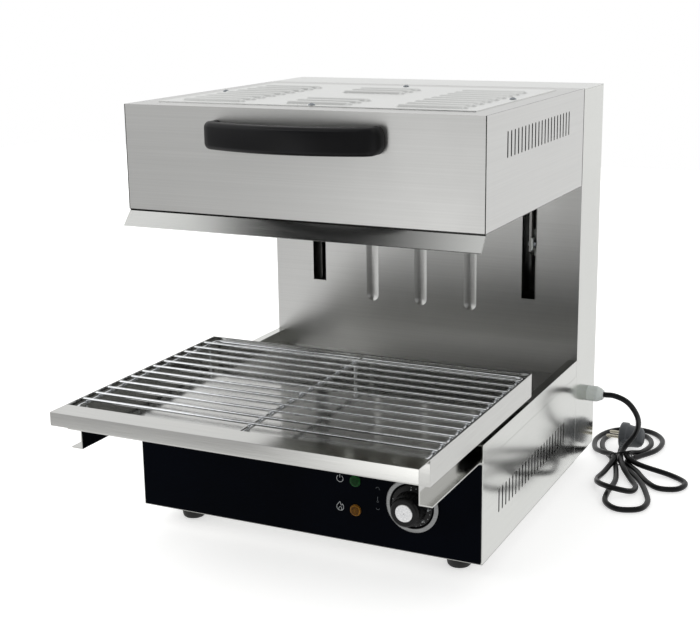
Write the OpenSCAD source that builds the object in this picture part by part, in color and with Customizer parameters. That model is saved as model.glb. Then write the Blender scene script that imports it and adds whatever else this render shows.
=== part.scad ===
// Lift-head electric cheese melter: a grill head that slides up and down a rear column
// over a pull-out crumb tray with a wire rack. Millimetres, +Z up, front towards -Y.
// The origin lies on the standing surface, in the middle of the footprint with the tray
// in the place shown, half pulled out.

/* [Body] */
// Overall width across the side panels
body_w = 450; // [420:1:560]
// Height of the housing above its feet
body_h = 500; // [480:1:600]
// Depth of the base and the head in front of the column
front_d = 360; // [330:1:440]
// Depth of the rear column
col_d = 90; // [84:1:120]
// Thickness of the housing sheet
sheet = 1.2; // [1:0.1:1.6]

/* [Base] */
// Height of the base box
base_h = 120; // [110:1:150]
// Width of the steel margin round the control panel
panel_margin = 1.5; // [1:0.5:8]
// Thickness of the black control panel
panel_t = 1.5; // [1:0.1:3]
// Number of vent slots in each base side
base_vents = 22; // [8:1:22]
// Height of a base vent slot
base_vent_h = 29; // [16:1:40]
// Height of the vent slots' middle above the base's bottom
base_vent_z = 58; // [40:1:64]
// Height of the rubber feet
foot_h = 25; // [12:1:40]
// Diameter of the rubber feet
foot_dia = 34; // [24:1:40]
// Inset of the feet from the sides and the front
foot_inset = 44; // [30:1:60]

/* [Head] */
// Height of the head's side panels
head_h = 124; // [110:1:140]
// Distance that the head can be lowered
head_travel = 150; // [80:1:150]
// Running gap between the head and the column
head_gap = 2; // [1:0.5:4]
// How far the front lip stands forward at its lower edge
lip_out = 14; // [6:1:20]
// How far the front lip hangs below the head
lip_drop = 18; // [10:1:24]
// Number of vent slots in each head side
head_vents = 20; // [8:1:22]
// Height of a head vent slot
head_vent_h = 29; // [16:1:34]
// Distance of the vent slots' middle below the top
head_vent_z = 37; // [30:1:50]
// Spacing of the side vents
vent_pitch = 12; // [9:0.5:14]
// Width of a side vent slot
vent_w = 3.6; // [2:0.2:5]
// Number of louvres in each side bank of the top cover
louvre_n = 9; // [5:1:9]
// Spacing of the louvres
louvre_pitch = 25; // [22:1:30]
// Length of a louvre
louvre_l = 88; // [60:1:100]
// Height of a louvre
louvre_h = 3; // [2:0.5:4]

/* [Handle] */
// Overall length of the handle
handle_l = 218; // [180:1:300]
// Height of the handle's section
handle_h = 31; // [24:1:40]
// Thickness of the handle's section
handle_t = 15; // [12:1:20]
// Height of the handle's middle below the head's top
handle_z = 30; // [20:1:50]
// Angle of each end bend
handle_turn = 70; // [60:1:78]

/* [Elements] */
// Diameter of the heating tube
tube_dia = 8; // [6.5:0.1:9]
// Spacing of the tube's runs
tube_pitch = 40; // [32:1:44]
// Height of the tubes' middle above the head's lower edge
tube_z = 24; // [18:1:30]

/* [Column] */
// Width of the two lift slots
slot_w = 20; // [14:1:24]
// Distance of a lift slot's middle from the centre plane
slot_x = 156; // [140:1:170]
// Height of the slots' lower end above the base's bottom
slot_low = 220; // [200:1:230]
// Spacing of the three pressed ribs
rib_pitch = 73; // [50:1:80]
// Depth of a pressed rib
rib_depth = 2.5; // [1.5:0.5:3]
// Thickness of a lift arm
arm_t = 3; // [2:0.5:4]
// Diameter of a gas spring's cylinder
spring_dia = 22; // [18:1:26]
// Diameter of a gas spring's rod
rod_dia = 10; // [8:1:12]

/* [Tray] */
// Distance that the tray stands pulled out
tray_out = 175; // [60:1:175]
// Height of the tray's wall
tray_wall_h = 29.5; // [20:0.5:34]
// Thickness of the tray sheet
tray_t = 1; // [0.8:0.1:1.5]
// Depth of the tray's front lip
tray_lip = 29; // [20:1:36]
// Height of the tray lip's front face
tray_lip_h = 16; // [10:1:20]
// Inner height of the side rails
rail_h = 22; // [16:1:28]
// Width of the side rails' top flange
rail_flange = 12; // [8:1:14]

/* [Rack] */
// Diameter of the rack's frame wire
frame_wire = 5; // [4:0.5:6]
// Diameter of the rack's cross wires
cross_wire = 3.6; // [2.5:0.1:4.5]
// Number of cross wires between the front and back frame wires
cross_n = 12; // [6:1:14]

/* [Controls] */
// Distance of the knob from the centre plane
knob_x = 142; // [100:1:150]
// Height of the knob above the base's bottom
knob_z = 59; // [50:1:70]
// Outer diameter of the bezel ring round the knob
bezel_dia = 64; // [56:1:76]
// Diameter of the knob's skirt
knob_dia = 50; // [40:1:54]
// Distance that the knob stands out of the panel
knob_h = 27; // [18:1:32]
// Distance of the pilot lamps from the centre plane
lamp_x = 70; // [50:1:90]
// Spacing of the two pilot lamps
lamp_pitch = 36; // [24:1:44]
// Diameter of a pilot lamp's lens
lamp_dia = 14; // [8:1:16]

/* [Lead] */
// Height of the cable gland above the base's bottom
gland_z = 80; // [60:1:100]
// Distance of the cable gland behind the column's front
gland_y = 60; // [45:1:65]
// Length of the gland outside the panel
gland_l = 22; // [18:1:30]
// Diameter of the mains lead
lead_dia = 7.5; // [6:0.5:8.5]

/* [Hidden] */

$fn = 48;
eps = 0.01;
half_w = body_w / 2;
run_gap = 0.3;                         // between curved or sliding faces
fold = 14;                             // width of the sheets' folded edges
base_z = foot_h;                       // the housing's lower face
top_z = base_z + body_h;
deck_z = base_z + base_h;              // the deck's upper face
in_x = half_w - sheet;                 // inner face of the side panels

steel = [0.78, 0.79, 0.79];
dark_steel = [0.45, 0.46, 0.46];
black = [0.05, 0.05, 0.06];
white_nylon = [0.86, 0.88, 0.86];

// head
head_bot = top_z - head_h;
head_y1 = -head_gap;                   // rear face of the head
head_y0 = -front_d;
cover_x = half_w - 25;                 // half width of the top cover
cover_y0 = head_y0 + 35;
cover_y1 = head_y1 - 38;
cover_lap = 15;                        // how far the cover lies on the head's flange
cover_t = 1;
bank_x = cover_x - louvre_l / 2 - 17;            // middle of a side bank of louvres
bank_y = head_y0 + 160;
slot_top = base_z + body_h - 18;
refl_t = 0.8;
refl_z = head_bot + 52;                // upper plate of the reflector
refl_x = half_w - 46;
refl_foot_x = in_x - run_gap;
refl_y0 = head_y0 + sheet + 6;
refl_y1 = head_y1 - sheet - 20;
tube_y0 = refl_y0 + 30;
tube_runs = 4;
elem_x = refl_x / 2 + 2;               // middle of each element
comb_y = [tube_y0 + 62, refl_y1 - 66];
louvre_d = 7;                          // depth of a louvre's hood
lip_gap = 1.2;                         // shadow gap between the head's front and its lip

// handle
handle_r = 15;                         // radius of the end bends
handle_foot = 6;                       // straight neck at the panel
handle_x = handle_l / 2 - handle_t / 2;
handle_bow_r = handle_r + (handle_x - handle_r) / cos(handle_turn);

// lift mechanism
arm_in_y = head_y1 - sheet;            // inner face of the head's rear panel
arm_back_y = 44;
tail_z = head_bot - 96;
neck_z = max(base_z + slot_low + head_travel + 12, head_bot + 6);
arm_top = top_z - 25;
shoe_y = 27;
shoe_w = 20;
shoe_d = 16;
shoe_h = 36;
shoe_zs = [tail_z + 14, arm_top - 22];
rail_wall = 1.5;
tie_h = 24;
tie_t = 3;
tie_y = 34;
spring_x = 112;
spring_y = 52;
pin_dia = 5;
cyl_z0 = base_z + 16;
cyl_h = head_travel + 32;
tie_z = cyl_z0 + cyl_h + head_travel + 24;

// tray and rails
rail_t = 1.5;
rail_bot_z = deck_z + rail_t;
rail_top_z = deck_z + rail_h;
runner_t = 1.5;
runner_set = 6;                        // how far the runners start behind the tray's front
tray_x = half_w - 2.4;                 // half width of the tray
tray_z = rail_top_z + 3.8;             // underside of the tray's floor
tray_top = tray_z + tray_wall_h;
rear_gap = 11;                         // left behind the tray when it is pushed in
tray_y1 = -rear_gap - tray_out;
tray_y0 = -front_d - 1 + tray_lip - tray_out;
tray_front = tray_y0 - tray_lip;
web_x = half_w - 16;                   // outer face of the runner's web
weld_sink = 0.3;                       // how far the rack's wires are fused into its frame
rack_z = tray_top + 0.5 + weld_sink - cross_wire - frame_wire / 2;   // middle of the frame wire
rack_x = tray_x - tray_t - 5 - frame_wire / 2;
rack_y0 = tray_y0 + tray_t + 2 + frame_wire / 2;
rack_y1 = tray_y1 - tray_t - 2 - frame_wire / 2;
rack_r = 9;                            // radius of the frame's corners

// the frame's origin is in the middle between the tray's lip and the back screws' heads
back_head = 2.4;
shift_y = -(tray_front + col_d + back_head) / 2;

// controls
panel_face = -front_d - panel_t;
knob_axis_z = base_z + knob_z;
bush_dia = 10;
shaft_dia = 6;
lamp_stem = 8.6;
gland_thread = 16;

// mains lead: x and y count from the gland's mouth, z from the standing surface
lead_sides = 10;
long_stretch = 33;                     // stretches over this get a ring in their middle
strand_gap = 8.2;                      // between the strands' centre lines in the tie
tie_at = [23, 16];
hank_angle = 23.5;                     // the band's long side, from +X
plug_at = [5, 88];                     // middle of the plug's face
plug_dia = 38;
plug_pin = 4.8;
pin_pitch = 19;
relief_angle = 12;
LEAD = [
    // out of the gland, down, and through the tie
    [0, 0, 105], [16, 0, 105], [33, 3, 97], [43, 15, 77], [42, 32, 55], [33, 43, 35], [23, 36, 20], [23, 16, 13.4],
    // short near loop, which crosses over the long one
    [35, -16, 10], [51, -41, 4.5], [64, -65, 4.2], [63, -88, 6], [44, -102, 12.5], [21, -88, 11], [10, -57, 4.8],
    [13, -25, 6], [15, 13, 13.4],
    // outer far loop, round the plug
    [-9, 36, 9], [-26, 62, 4.2], [-34, 100, 4], [-24, 140, 4], [3, 162, 4], [35, 157, 4], [56, 128, 4],
    [57, 86, 4], [40, 48, 4.2], [31, 19, 5.2],
    // right near loop
    [52, -9, 4.2], [73, -41, 4], [93, -58, 4], [116, -51, 4], [121, -26, 4], [97, -5, 4.2], [52, 4, 9.5],
    [31, 19, 13.4],
    // inner far loop
    [28, 48, 8.2], [40, 68, 4.5], [45, 104, 4], [33, 134, 4], [7, 146, 4], [-16, 130, 4], [-23, 98, 4],
    [-14, 62, 4], [6, 31, 4.5], [15, 13, 5.2],
    // long near loop
    [26, -20, 4.2], [34, -56, 4], [35, -97, 4], [41, -131, 4], [61, -149, 4], [86, -139, 4], [91, -112, 4],
    [80, -77, 4], [64, -43, 4], [42, -13, 4.2], [23, 16, 5.2],
    // to the plug
    [15, 33, 5.5], [15, 48, 8.7]
];

// feet, ribs and rear slots
foot_x = half_w - foot_inset;
foot_y0 = -front_d + foot_inset;
foot_y1 = col_d - foot_inset;
foot_hole = 5.4;
rib_r = 18;
rib_low = base_z + 206;
rib_high = top_z - 60;
back_slot_n = 11;

module place() {
    translate([0, shift_y, 0]) children();
}

// ---- shared shapes ----

// a box given by its two corners
module box(a, b) {
    translate(a) cube([b[0] - a[0], b[1] - a[1], b[2] - a[2]]);
}

// the same for the right side (s = 1) or mirrored to the left side (s = -1)
module span(s, a, b) {
    if (s > 0) box(a, b);
    else box([-b[0], a[1], a[2]], [-a[0], b[1], b[2]]);
}

// a sheet profile drawn in X and Z, running along Y from y0 to y1
module along_y(y0, y1) {
    translate([0, y1, 0]) rotate([90, 0, 0]) linear_extrude(y1 - y0) children();
}

// a profile drawn in Y and Z, running along X from x0 to x1
module along_x(x0, x1) {
    translate([x0, 0, 0]) rotate([90, 0, 90]) linear_extrude(x1 - x0) children();
}

// cutter for an upright vent slot with round ends, through a sheet that faces Y
module vent_cut(h) {
    d = 3 * sheet;
    translate([-vent_w / 2, -d / 2, -h / 2 + vent_w / 2]) cube([vent_w, d, h - vent_w]);
    for (s = [-1, 1])
        translate([0, d / 2, s * (h / 2 - vent_w / 2)]) rotate([90, 0, 0]) cylinder(d = vent_w, h = d, $fn = 24);
}

// a pan-head screw: its head stands on z = 0 and its shank goes down
module pan_screw(d, head_d, head_h, len) {
    difference() {
        union() {
            intersection() {
                translate([0, 0, head_h - head_d * 0.75]) sphere(d = head_d * 1.5, $fn = 40);
                cylinder(d = head_d, h = head_h);
            }
            translate([0, 0, -len]) cylinder(d = d, h = len + eps);
        }
        for (a = [0, 90])
            rotate([0, 0, a]) translate([-head_d * 0.28, -head_d * 0.05, head_h - head_d * 0.12])
                cube([head_d * 0.56, head_d * 0.1, head_d]);
    }
}

// ---- base ----

// places a row of n vents along both sides, at height z
module at_side_vents(n, mid_y, z) {
    for (s = [-1, 1], i = [0 : n - 1])
        translate([s * (half_w - sheet / 2), mid_y + (i - (n - 1) / 2) * vent_pitch, z]) children();
}

// side panel with its bottom and top flanges folded inwards
module base_side(s) {
    color(steel) place() difference() {
        union() {
            span(s, [in_x, -front_d, base_z + sheet], [half_w, 0, deck_z]);
            for (z = [base_z + sheet, deck_z - 2 * sheet])
                span(s, [half_w - fold, -front_d + fold + 1, z], [in_x + eps, 0, z + sheet]);
        }
        at_side_vents(base_vents, -front_d / 2, base_z + base_vent_z) rotate([0, 0, 90]) vent_cut(base_vent_h);
    }
}

module base_side_left() { base_side(-1); }
module base_side_right() { base_side(1); }

module at_feet() {
    for (x = [-foot_x, foot_x]) {
        translate([x, foot_y0, 0]) children();
        translate([x, foot_y1, 0]) children();
    }
}

// floor plate with two banks of air slots and the two front feet's holes
module base_floor() {
    color(steel) place() difference() {
        box([-half_w, -front_d, base_z], [half_w, 0, base_z + sheet]);
        for (x = [-80, 80], i = [-4 : 4])
            translate([x, -front_d / 2 + i * 14, base_z]) box([-45, -2, -1], [45, 2, sheet + 1]);
        for (x = [-foot_x, foot_x])
            translate([x, foot_y0, base_z - 1]) cylinder(d = foot_hole, h = sheet + 2);
    }
}

// top of the base: the plate under the tray
module base_deck() {
    color(steel) place() union() {
        box([-in_x, -front_d, deck_z - sheet], [in_x, 0, deck_z]);
        box([-half_w + fold, -front_d, deck_z - 8], [half_w - fold, -front_d + sheet, deck_z - sheet + eps]);
    }
}

// cutters for the thermostat's bush and the lamps, through the panel and the plate
module control_holes() {
    depth = panel_t + sheet + 2;
    translate([knob_x, panel_face - 1, knob_axis_z]) rotate([-90, 0, 0]) cylinder(d = bush_dia + 1, h = depth);
    for (s = [-1, 1])
        translate([lamp_x, panel_face - 1, knob_axis_z + s * lamp_pitch / 2])
            rotate([-90, 0, 0]) cylinder(d = lamp_stem + 0.4, h = depth);
}

// folded steel plate behind the control panel
module front_plate() {
    y0 = -front_d;
    z0 = base_z + sheet;
    z1 = deck_z - 8;
    color(steel) place() difference() {
        union() {
            box([-in_x, y0, z0], [in_x, y0 + sheet, z1]);
            for (s = [-1, 1])
                span(s, [in_x - sheet, y0, z0], [in_x, y0 + fold, z1]);
            box([-in_x, y0, z0], [in_x, y0 + fold, z0 + sheet]);
        }
        control_holes();
    }
}

// black front panel, with holes for the spindle and the lamps
module control_panel() {
    x = half_w - panel_margin;
    r = 1;
    color(black) place() difference() {
        union() {
            box([-x, panel_face, base_z + panel_margin + r], [x, -front_d, deck_z - panel_margin - r]);
            box([-x + r, panel_face, base_z + panel_margin], [x - r, -front_d, deck_z - panel_margin]);
            for (sx = [-x + r, x - r], z = [base_z + panel_margin + r, deck_z - panel_margin - r])
                translate([sx, -front_d, z]) rotate([90, 0, 0]) cylinder(r = r, h = panel_t);
        }
        control_holes();
    }
}

// C-section rail that holds the tray's runner down
module side_rail(s) {
    color(steel) place() along_y(-front_d, 0) polygon([
        [s * (half_w - 17), deck_z], [s * half_w, deck_z], [s * half_w, rail_top_z],
        [s * (half_w - rail_flange), rail_top_z], [s * (half_w - rail_flange), rail_top_z - rail_t],
        [s * (half_w - rail_t), rail_top_z - rail_t], [s * (half_w - rail_t), rail_bot_z],
        [s * (half_w - 17), rail_bot_z]
    ]);
}

module rail_left() { side_rail(-1); }
module rail_right() { side_rail(1); }

// round rubber feet with a recess for the screw
module feet() {
    r = foot_dia / 2;
    color(black) place() at_feet() rotate_extrude($fn = 64) polygon([
        [5.5, 4], [5.5, 0], [r - 6, 0], [r - 4.4, 0.6], [r - 3.2, 2], [r - 2.6, 4],
        [r, base_z - 2], [r - 1, base_z], [2.7, base_z], [2.7, 4]
    ]);
}

module foot_screws() {
    color(steel) place() at_feet() union() {
        translate([0, 0, 1]) cylinder(d = 10, h = 3);
        translate([0, 0, 3]) cylinder(d = 5, h = base_z + sheet + 3);
        translate([0, 0, base_z + sheet]) cylinder(d = 9, h = 4, $fn = 6);
    }
}

// ---- column ----

// a pressed rib: a long capsule that the panel is bulged with
module rib_form(r, low, high) {
    translate([0, 0, low]) cylinder(r = r, h = high - low, $fn = 64);
    translate([0, 0, low]) sphere(r = r, $fn = 64);
    translate([0, 0, high]) sphere(r = r, $fn = 64);
}

// front panel of the column with the ribs pressed backwards and the two lift slots
module column_front() {
    color(steel) place() difference() {
        union() {
            box([-half_w, 0, base_z], [half_w, sheet, top_z - sheet]);
            for (i = [-1 : 1])
                intersection() {
                    translate([i * rib_pitch, rib_depth - rib_r, 0]) rib_form(rib_r + sheet, rib_low, rib_high);
                    box([i * rib_pitch - 20, 0, rib_low - 30], [i * rib_pitch + 20, rib_depth + 3, rib_high + 30]);
                }
        }
        for (i = [-1 : 1])
            translate([i * rib_pitch, rib_depth - rib_r, 0]) rib_form(rib_r, rib_low, rib_high);
        for (s = [-1, 1])
            box([s * slot_x - slot_w / 2, -1, base_z + slot_low], [s * slot_x + slot_w / 2, sheet + 1, slot_top]);
    }
}

// side of the column, folded in at the front and the back
module column_side(s) {
    color(steel) place() difference() {
        union() {
            span(s, [in_x, sheet, base_z], [half_w, col_d - sheet, top_z - sheet]);
            for (y = [sheet, col_d - 2 * sheet])
                span(s, [half_w - fold, y, base_z + sheet], [half_w, y + sheet, top_z - sheet]);
        }
        at_back_screws() rotate([90, 0, 0]) cylinder(d = 4.2, h = 4 * sheet);
        if (s > 0)
            at_gland() translate([0, 0, -sheet - 1]) cylinder(d = gland_thread + 0.4, h = sheet + 2);
    }
}

module column_side_left() { column_side(-1); }
module column_side_right() { column_side(1); }

// rear cover, screwed to the side panels, with two rows of air slots
module column_back() {
    color(steel) place() difference() {
        box([-half_w, col_d - sheet, base_z], [half_w, col_d, top_z - sheet]);
        for (z = [base_z + 70, top_z - 60], i = [0 : back_slot_n - 1])
            translate([(i - (back_slot_n - 1) / 2) * 2 * vent_pitch, col_d - sheet / 2, z]) vent_cut(base_vent_h);
        at_back_screws() translate([0, 1, 0]) rotate([90, 0, 0]) cylinder(d = 4.2, h = sheet + 2);
    }
}

module at_back_screws() {
    for (x = [-half_w + fold / 2, half_w - fold / 2], z = [base_z + 25, base_z + body_h / 2, top_z - 25])
        translate([x, col_d, z]) children();
}

module column_floor() {
    color(steel) place() difference() {
        box([-in_x, sheet, base_z], [in_x, col_d - sheet, base_z + sheet]);
        for (x = [-foot_x, foot_x])
            translate([x, foot_y1, base_z - 1]) cylinder(d = foot_hole, h = sheet + 2);
    }
}

// cap of the column
module column_top() {
    color(steel) place() box([-half_w, 0, top_z - sheet], [half_w, col_d, top_z]);
}

module column_screws() {
    color(steel) place() at_back_screws() rotate([-90, 0, 0]) pan_screw(4, 8, 2.4, 8);
}

// upright U-channels in which the head's shoes run
module guide_rails() {
    x0 = slot_x + arm_t / 2 + 2 + run_gap;
    x1 = slot_x + arm_t / 2 + shoe_d + run_gap;
    y0 = shoe_y - shoe_w / 2 - run_gap;
    y1 = shoe_y + shoe_w / 2 + run_gap;
    color(dark_steel) place() for (s = [-1, 1])
        translate([0, 0, base_z + sheet]) linear_extrude(body_h - 2 * sheet) polygon([
            [s * x0, y0 - rail_wall], [s * (x1 + rail_wall), y0 - rail_wall],
            [s * (x1 + rail_wall), y1 + rail_wall], [s * x0, y1 + rail_wall],
            [s * x0, y1], [s * x1, y1], [s * x1, y0], [s * x0, y0]
        ]);
}

module at_springs(z) {
    for (s = [-1, 1]) translate([s * spring_x, spring_y, z]) children();
}

// gas springs' cylinders, each with a lug below for its pin
module gas_cylinders() {
    color(black) place() at_springs(cyl_z0) difference() {
        union() {
            cylinder(d = spring_dia, h = cyl_h);
            box([-4, -8, -9], [4, 8, eps]);
        }
        translate([0, 0, 4]) cylinder(d = rod_dia + 2 * run_gap, h = cyl_h);
        translate([-5, 0, -5]) rotate([0, 90, 0]) cylinder(d = pin_dia + 0.2, h = 10);
    }
}

// forks that hold the springs to the column's floor
module spring_forks() {
    color(steel) place() at_springs(cyl_z0) difference() {
        union() {
            box([-7, -9, -cyl_z0 + base_z + sheet], [7, 9, -cyl_z0 + base_z + sheet + 2]);
            for (s = [-1, 1]) span(s, [4.3, -9, -cyl_z0 + base_z + sheet], [7, 9, -0.5]);
        }
        translate([-8, 0, -5]) rotate([0, 90, 0]) cylinder(d = pin_dia + 0.2, h = 16);
    }
}

// headed pins through the forks
module spring_pins() {
    color(dark_steel) place() at_springs(cyl_z0 - 5) rotate([0, 90, 0]) union() {
        translate([0, 0, -9]) cylinder(d = pin_dia, h = 18);
        for (z = [-9, 7.2]) translate([0, 0, z]) cylinder(d = pin_dia + 2, h = 1.8);
    }
}

// ---- controls ----

module at_knob() {
    translate([knob_x, panel_face, knob_axis_z]) rotate([90, 0, 0]) children();
}

// brushed ring round the knob
module knob_bezel() {
    ro = bezel_dia / 2;
    ri = ro - 5.5;
    color(steel) place() at_knob() rotate_extrude($fn = 96) polygon([
        [ri, 0], [ro, 0], [ro, 3.2], [ro - 1, 4], [ri + 0.8, 4], [ri, 3.2]
    ]);
}

module knob_profile() {
    r = knob_dia / 2;
    polygon([
        [6, 1], [r - 1, 1], [r, 2], [r, 3.6], [r - 1.2, 5],
        [r * 0.78, 7], [r * 0.7, knob_h - 3], [r * 0.66, knob_h - 1], [r * 0.6, knob_h],
        [10.7, knob_h], [10.7, knob_h - 1.5], [3.05, knob_h - 1.5], [3.05, knob_h - 15],
        [6, knob_h - 15]
    ]);
}

// black knob with a flared skirt and grip flutes
module knob() {
    r = knob_dia / 2;
    color(black) place() at_knob() difference() {
        rotate_extrude($fn = 96) knob_profile();
        for (i = [0 : 23])
            rotate([0, 0, i * 15]) translate([r * 0.78, 0, 8.5]) cylinder(d = 2.4, h = knob_h, $fn = 16);
    }
}

// spun metal disc in the knob's end
module knob_cap() {
    color(steel) place() at_knob() translate([0, 0, knob_h - 1.5]) rotate_extrude($fn = 64)
        polygon([[0, 0], [10.4, 0], [10.4, 1.5], [9.8, 2], [8, 2], [0, 1.7]]);
}

module thermostat_shaft() {
    color(steel) place() at_knob() difference() {
        translate([0, 0, -panel_t - 12]) cylinder(d = shaft_dia, h = panel_t + 12 + knob_h - 1.8);
        translate([1.8, -5, knob_h - 14]) cube([5, 10, 20]);
    }
}

// thermostat behind the front plate, with its bush and blade terminals
module thermostat() {
    color(dark_steel) place() translate([knob_x, -front_d + sheet, knob_axis_z]) difference() {
        union() {
            translate([-20, 0, -20]) cube([40, 4, 40]);
            translate([-17, 4 - eps, -17]) cube([34, 26, 34]);
            rotate([90, 0, 0]) translate([0, 0, -eps]) cylinder(d = bush_dia, h = sheet + panel_t + 0.4);
            for (x = [-11, -3.5, 4.5, 12], z = [-9, 9])
                translate([x - 0.4, 30 - eps, z - 3]) cube([0.8, 9, 6.3]);
        }
        rotate([-90, 0, 0]) translate([0, 0, -8]) cylinder(d = shaft_dia + 2 * run_gap, h = 20);
    }
}

module lamp(z) {
    translate([lamp_x, panel_face, z]) rotate([90, 0, 0]) rotate_extrude($fn = 48) polygon([
        [0, -panel_t - sheet], [lamp_stem / 2, -panel_t - sheet], [lamp_stem / 2, 0], [lamp_dia / 2, 0],
        [lamp_dia / 2, 1], [lamp_dia / 2 - 0.6, 2], [lamp_dia / 3, 2.8], [0, 3.1]
    ]);
}

module lamp_green() { color([0.1, 0.45, 0.15]) place() lamp(knob_axis_z + lamp_pitch / 2); }
module lamp_amber() { color([0.9, 0.55, 0.1]) place() lamp(knob_axis_z - lamp_pitch / 2); }

// holders of the two lamps behind the front plate
module lamp_bodies() {
    color(white_nylon) place() for (s = [-1, 1])
        translate([lamp_x, -front_d + sheet, knob_axis_z + s * lamp_pitch / 2]) rotate([-90, 0, 0]) union() {
            cylinder(d = 13, h = 4);
            cylinder(d = 10, h = 24);
            for (e = [-3, 3]) translate([e - 0.4, -2.4, 24 - eps]) cube([0.8, 4.8, 8]);
        }
}

// mains terminals on the column's floor
module terminal_block() {
    color(white_nylon) place() translate([half_w - 14, 18, base_z + sheet])
        rotate([0, 0, 90]) difference() {
        union() {
            cube([52, 24, 6]);
            for (i = [0 : 2]) translate([3 + i * 16, 3, 6 - eps]) cube([14, 18, 14]);
        }
        for (i = [0 : 2]) {
            translate([10 + i * 16, -1, 13]) rotate([-90, 0, 0]) cylinder(d = 5, h = 26, $fn = 24);
            for (y = [7.5, 16.5]) translate([10 + i * 16, y, 13]) cylinder(d = 4.4, h = 10, $fn = 24);
        }
    }
}

module at_gland() {
    translate([half_w, gland_y, base_z + gland_z]) rotate([0, 90, 0]) children();
}

module gland_locknut() {
    difference() {
        translate([0, 0, -sheet - 5]) cylinder(d = 22, h = 5, $fn = 6);
        translate([0, 0, -sheet - 6]) cylinder(d = gland_thread + 0.2, h = 7);
    }
}

// cable gland: hexagon, dome nut, the thread through the panel and its locknut inside
module cable_gland() {
    l = gland_l;
    color(white_nylon) place() at_gland() union() {
        translate([0, 0, -sheet - 7]) cylinder(d = gland_thread, h = sheet + 7 + eps);
        gland_locknut();
        cylinder(d = 22, h = 4.5, $fn = 6);
        rotate_extrude($fn = 64) polygon([
            [0, 4], [10.2, 4], [10.2, l - 8], [9.6, l - 6], [7.6, l - 2], [6, l], [0, l]
        ]);
        for (i = [0 : 17])
            rotate([0, 0, i * 20]) translate([10, 0, 5.5]) cylinder(d = 1.2, h = l - 14, $fn = 16);
    }
}

// ---- head ----

module at_cover_screws() {
    mid_y = (cover_y0 + cover_y1) / 2;
    for (x = [-cover_x + 8, cover_x - 8]) translate([x, mid_y, top_z + cover_t]) children();
    for (y = [cover_y0 + 8, cover_y1 - 8]) translate([0, y, top_z + cover_t]) children();
}

// front and sides in one folded sheet, with a flange round the open top
module head_shell() {
    color(steel) place() difference() {
        union() {
            box([-half_w, head_y0, head_bot], [half_w, head_y0 + sheet, top_z]);
            for (s = [-1, 1]) {
                span(s, [in_x, head_y0, head_bot], [half_w, head_y1, top_z]);
                span(s, [half_w - fold, head_y0 + 2 * sheet, head_bot], [in_x + eps, head_y1 - sheet, head_bot + sheet]);
            }
            box([-half_w, head_y0, top_z - sheet], [half_w, head_y1, top_z]);
        }
        box([-cover_x + cover_lap, cover_y0 + cover_lap, top_z - 2 * sheet],
            [cover_x - cover_lap, cover_y1 - cover_lap, top_z + 1]);
        at_side_vents(head_vents, head_y0 / 2, top_z - head_vent_z) rotate([0, 0, 90]) vent_cut(head_vent_h);
        at_cover_screws() translate([0, 0, -5]) cylinder(d = 4.2, h = 8);
        at_handle_ends() translate([0, 0, -1]) cylinder(d = 5.4, h = sheet + 2);
    }
}

// section of a louvre's hood: a rising arc, open at y = 0
module louvre_section(shell) {
    r = (louvre_d * louvre_d + louvre_h * louvre_h) / (2 * louvre_h);
    intersection() {
        difference() {
            translate([0, louvre_h - r]) circle(r = r, $fn = 96);
            if (shell) translate([0, louvre_h - r]) circle(r = r - cover_t * 0.8, $fn = 96);
        }
        translate([-louvre_d, 0]) square([louvre_d, louvre_h]);
    }
}

// one louvre, pressed up from the plate, open towards the rear
module louvre() {
    l = louvre_l - 2 * louvre_d;
    along_x(-l / 2, l / 2) louvre_section(true);
    for (s = [-1, 1])
        translate([s * l / 2, 0, 0]) rotate([0, 0, s > 0 ? -90 : 180]) rotate_extrude(angle = 90, $fn = 48)
            mirror([1, 0]) louvre_section(true);
}

module at_louvres() {
    mid = (louvre_n - 1) / 2;
    for (s = [-1, 1], i = [0 : louvre_n - 1])
        translate([s * bank_x, bank_y + (mid - i) * louvre_pitch, top_z + cover_t]) children();
    for (i = [0 : 2], s = [-1, 1])
        translate([0, bank_y + s * (mid - i) * louvre_pitch, top_z + cover_t]) children();
}

// inset top cover with banks of louvres
module head_top_cover() {
    color(steel) place() union() {
        difference() {
            box([-cover_x, cover_y0, top_z], [cover_x, cover_y1, top_z + cover_t]);
            at_louvres() box([-louvre_l / 2 + 6, -4.5, -2], [louvre_l / 2 - 6, 0, 1]);
            at_cover_screws() translate([0, 0, -2]) cylinder(d = 4.2, h = 4);
        }
        at_louvres() translate([0, 0, -eps]) louvre();
    }
}

module cover_screws() {
    color(dark_steel) place() at_cover_screws() pan_screw(4, 8, 2.4, 7);
}

// flared lip below the head's front edge
module head_lip() {
    y = head_y0;
    z = head_bot;
    color(steel) place() union() {
        box([-in_x, y + sheet, z - lip_gap], [in_x, y + 2 * sheet, z + fold]);
        along_x(-half_w, half_w) polygon([
            [y + sheet, z - lip_gap], [y - lip_out, z - lip_drop],
            [y - lip_out + sheet * 0.8, z - lip_drop - sheet * 0.6], [y + 2 * sheet, z - lip_gap]
        ]);
    }
}

// rear panel of the head with the slits that the lift arms pass through
module head_rear() {
    color(steel) place() difference() {
        box([-in_x, head_y1 - sheet, head_bot], [in_x, head_y1, top_z - sheet]);
        for (s = [-1, 1])
            box([s * slot_x - arm_t / 2 - 0.5, head_y1 - sheet - 1, neck_z - 1],
                [s * slot_x + arm_t / 2 + 0.5, head_y1 + 1, arm_top + 1]);
        at_arm_bolts() translate([0, 0, -10]) cylinder(d = 5.4, h = 20);
    }
}

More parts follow.
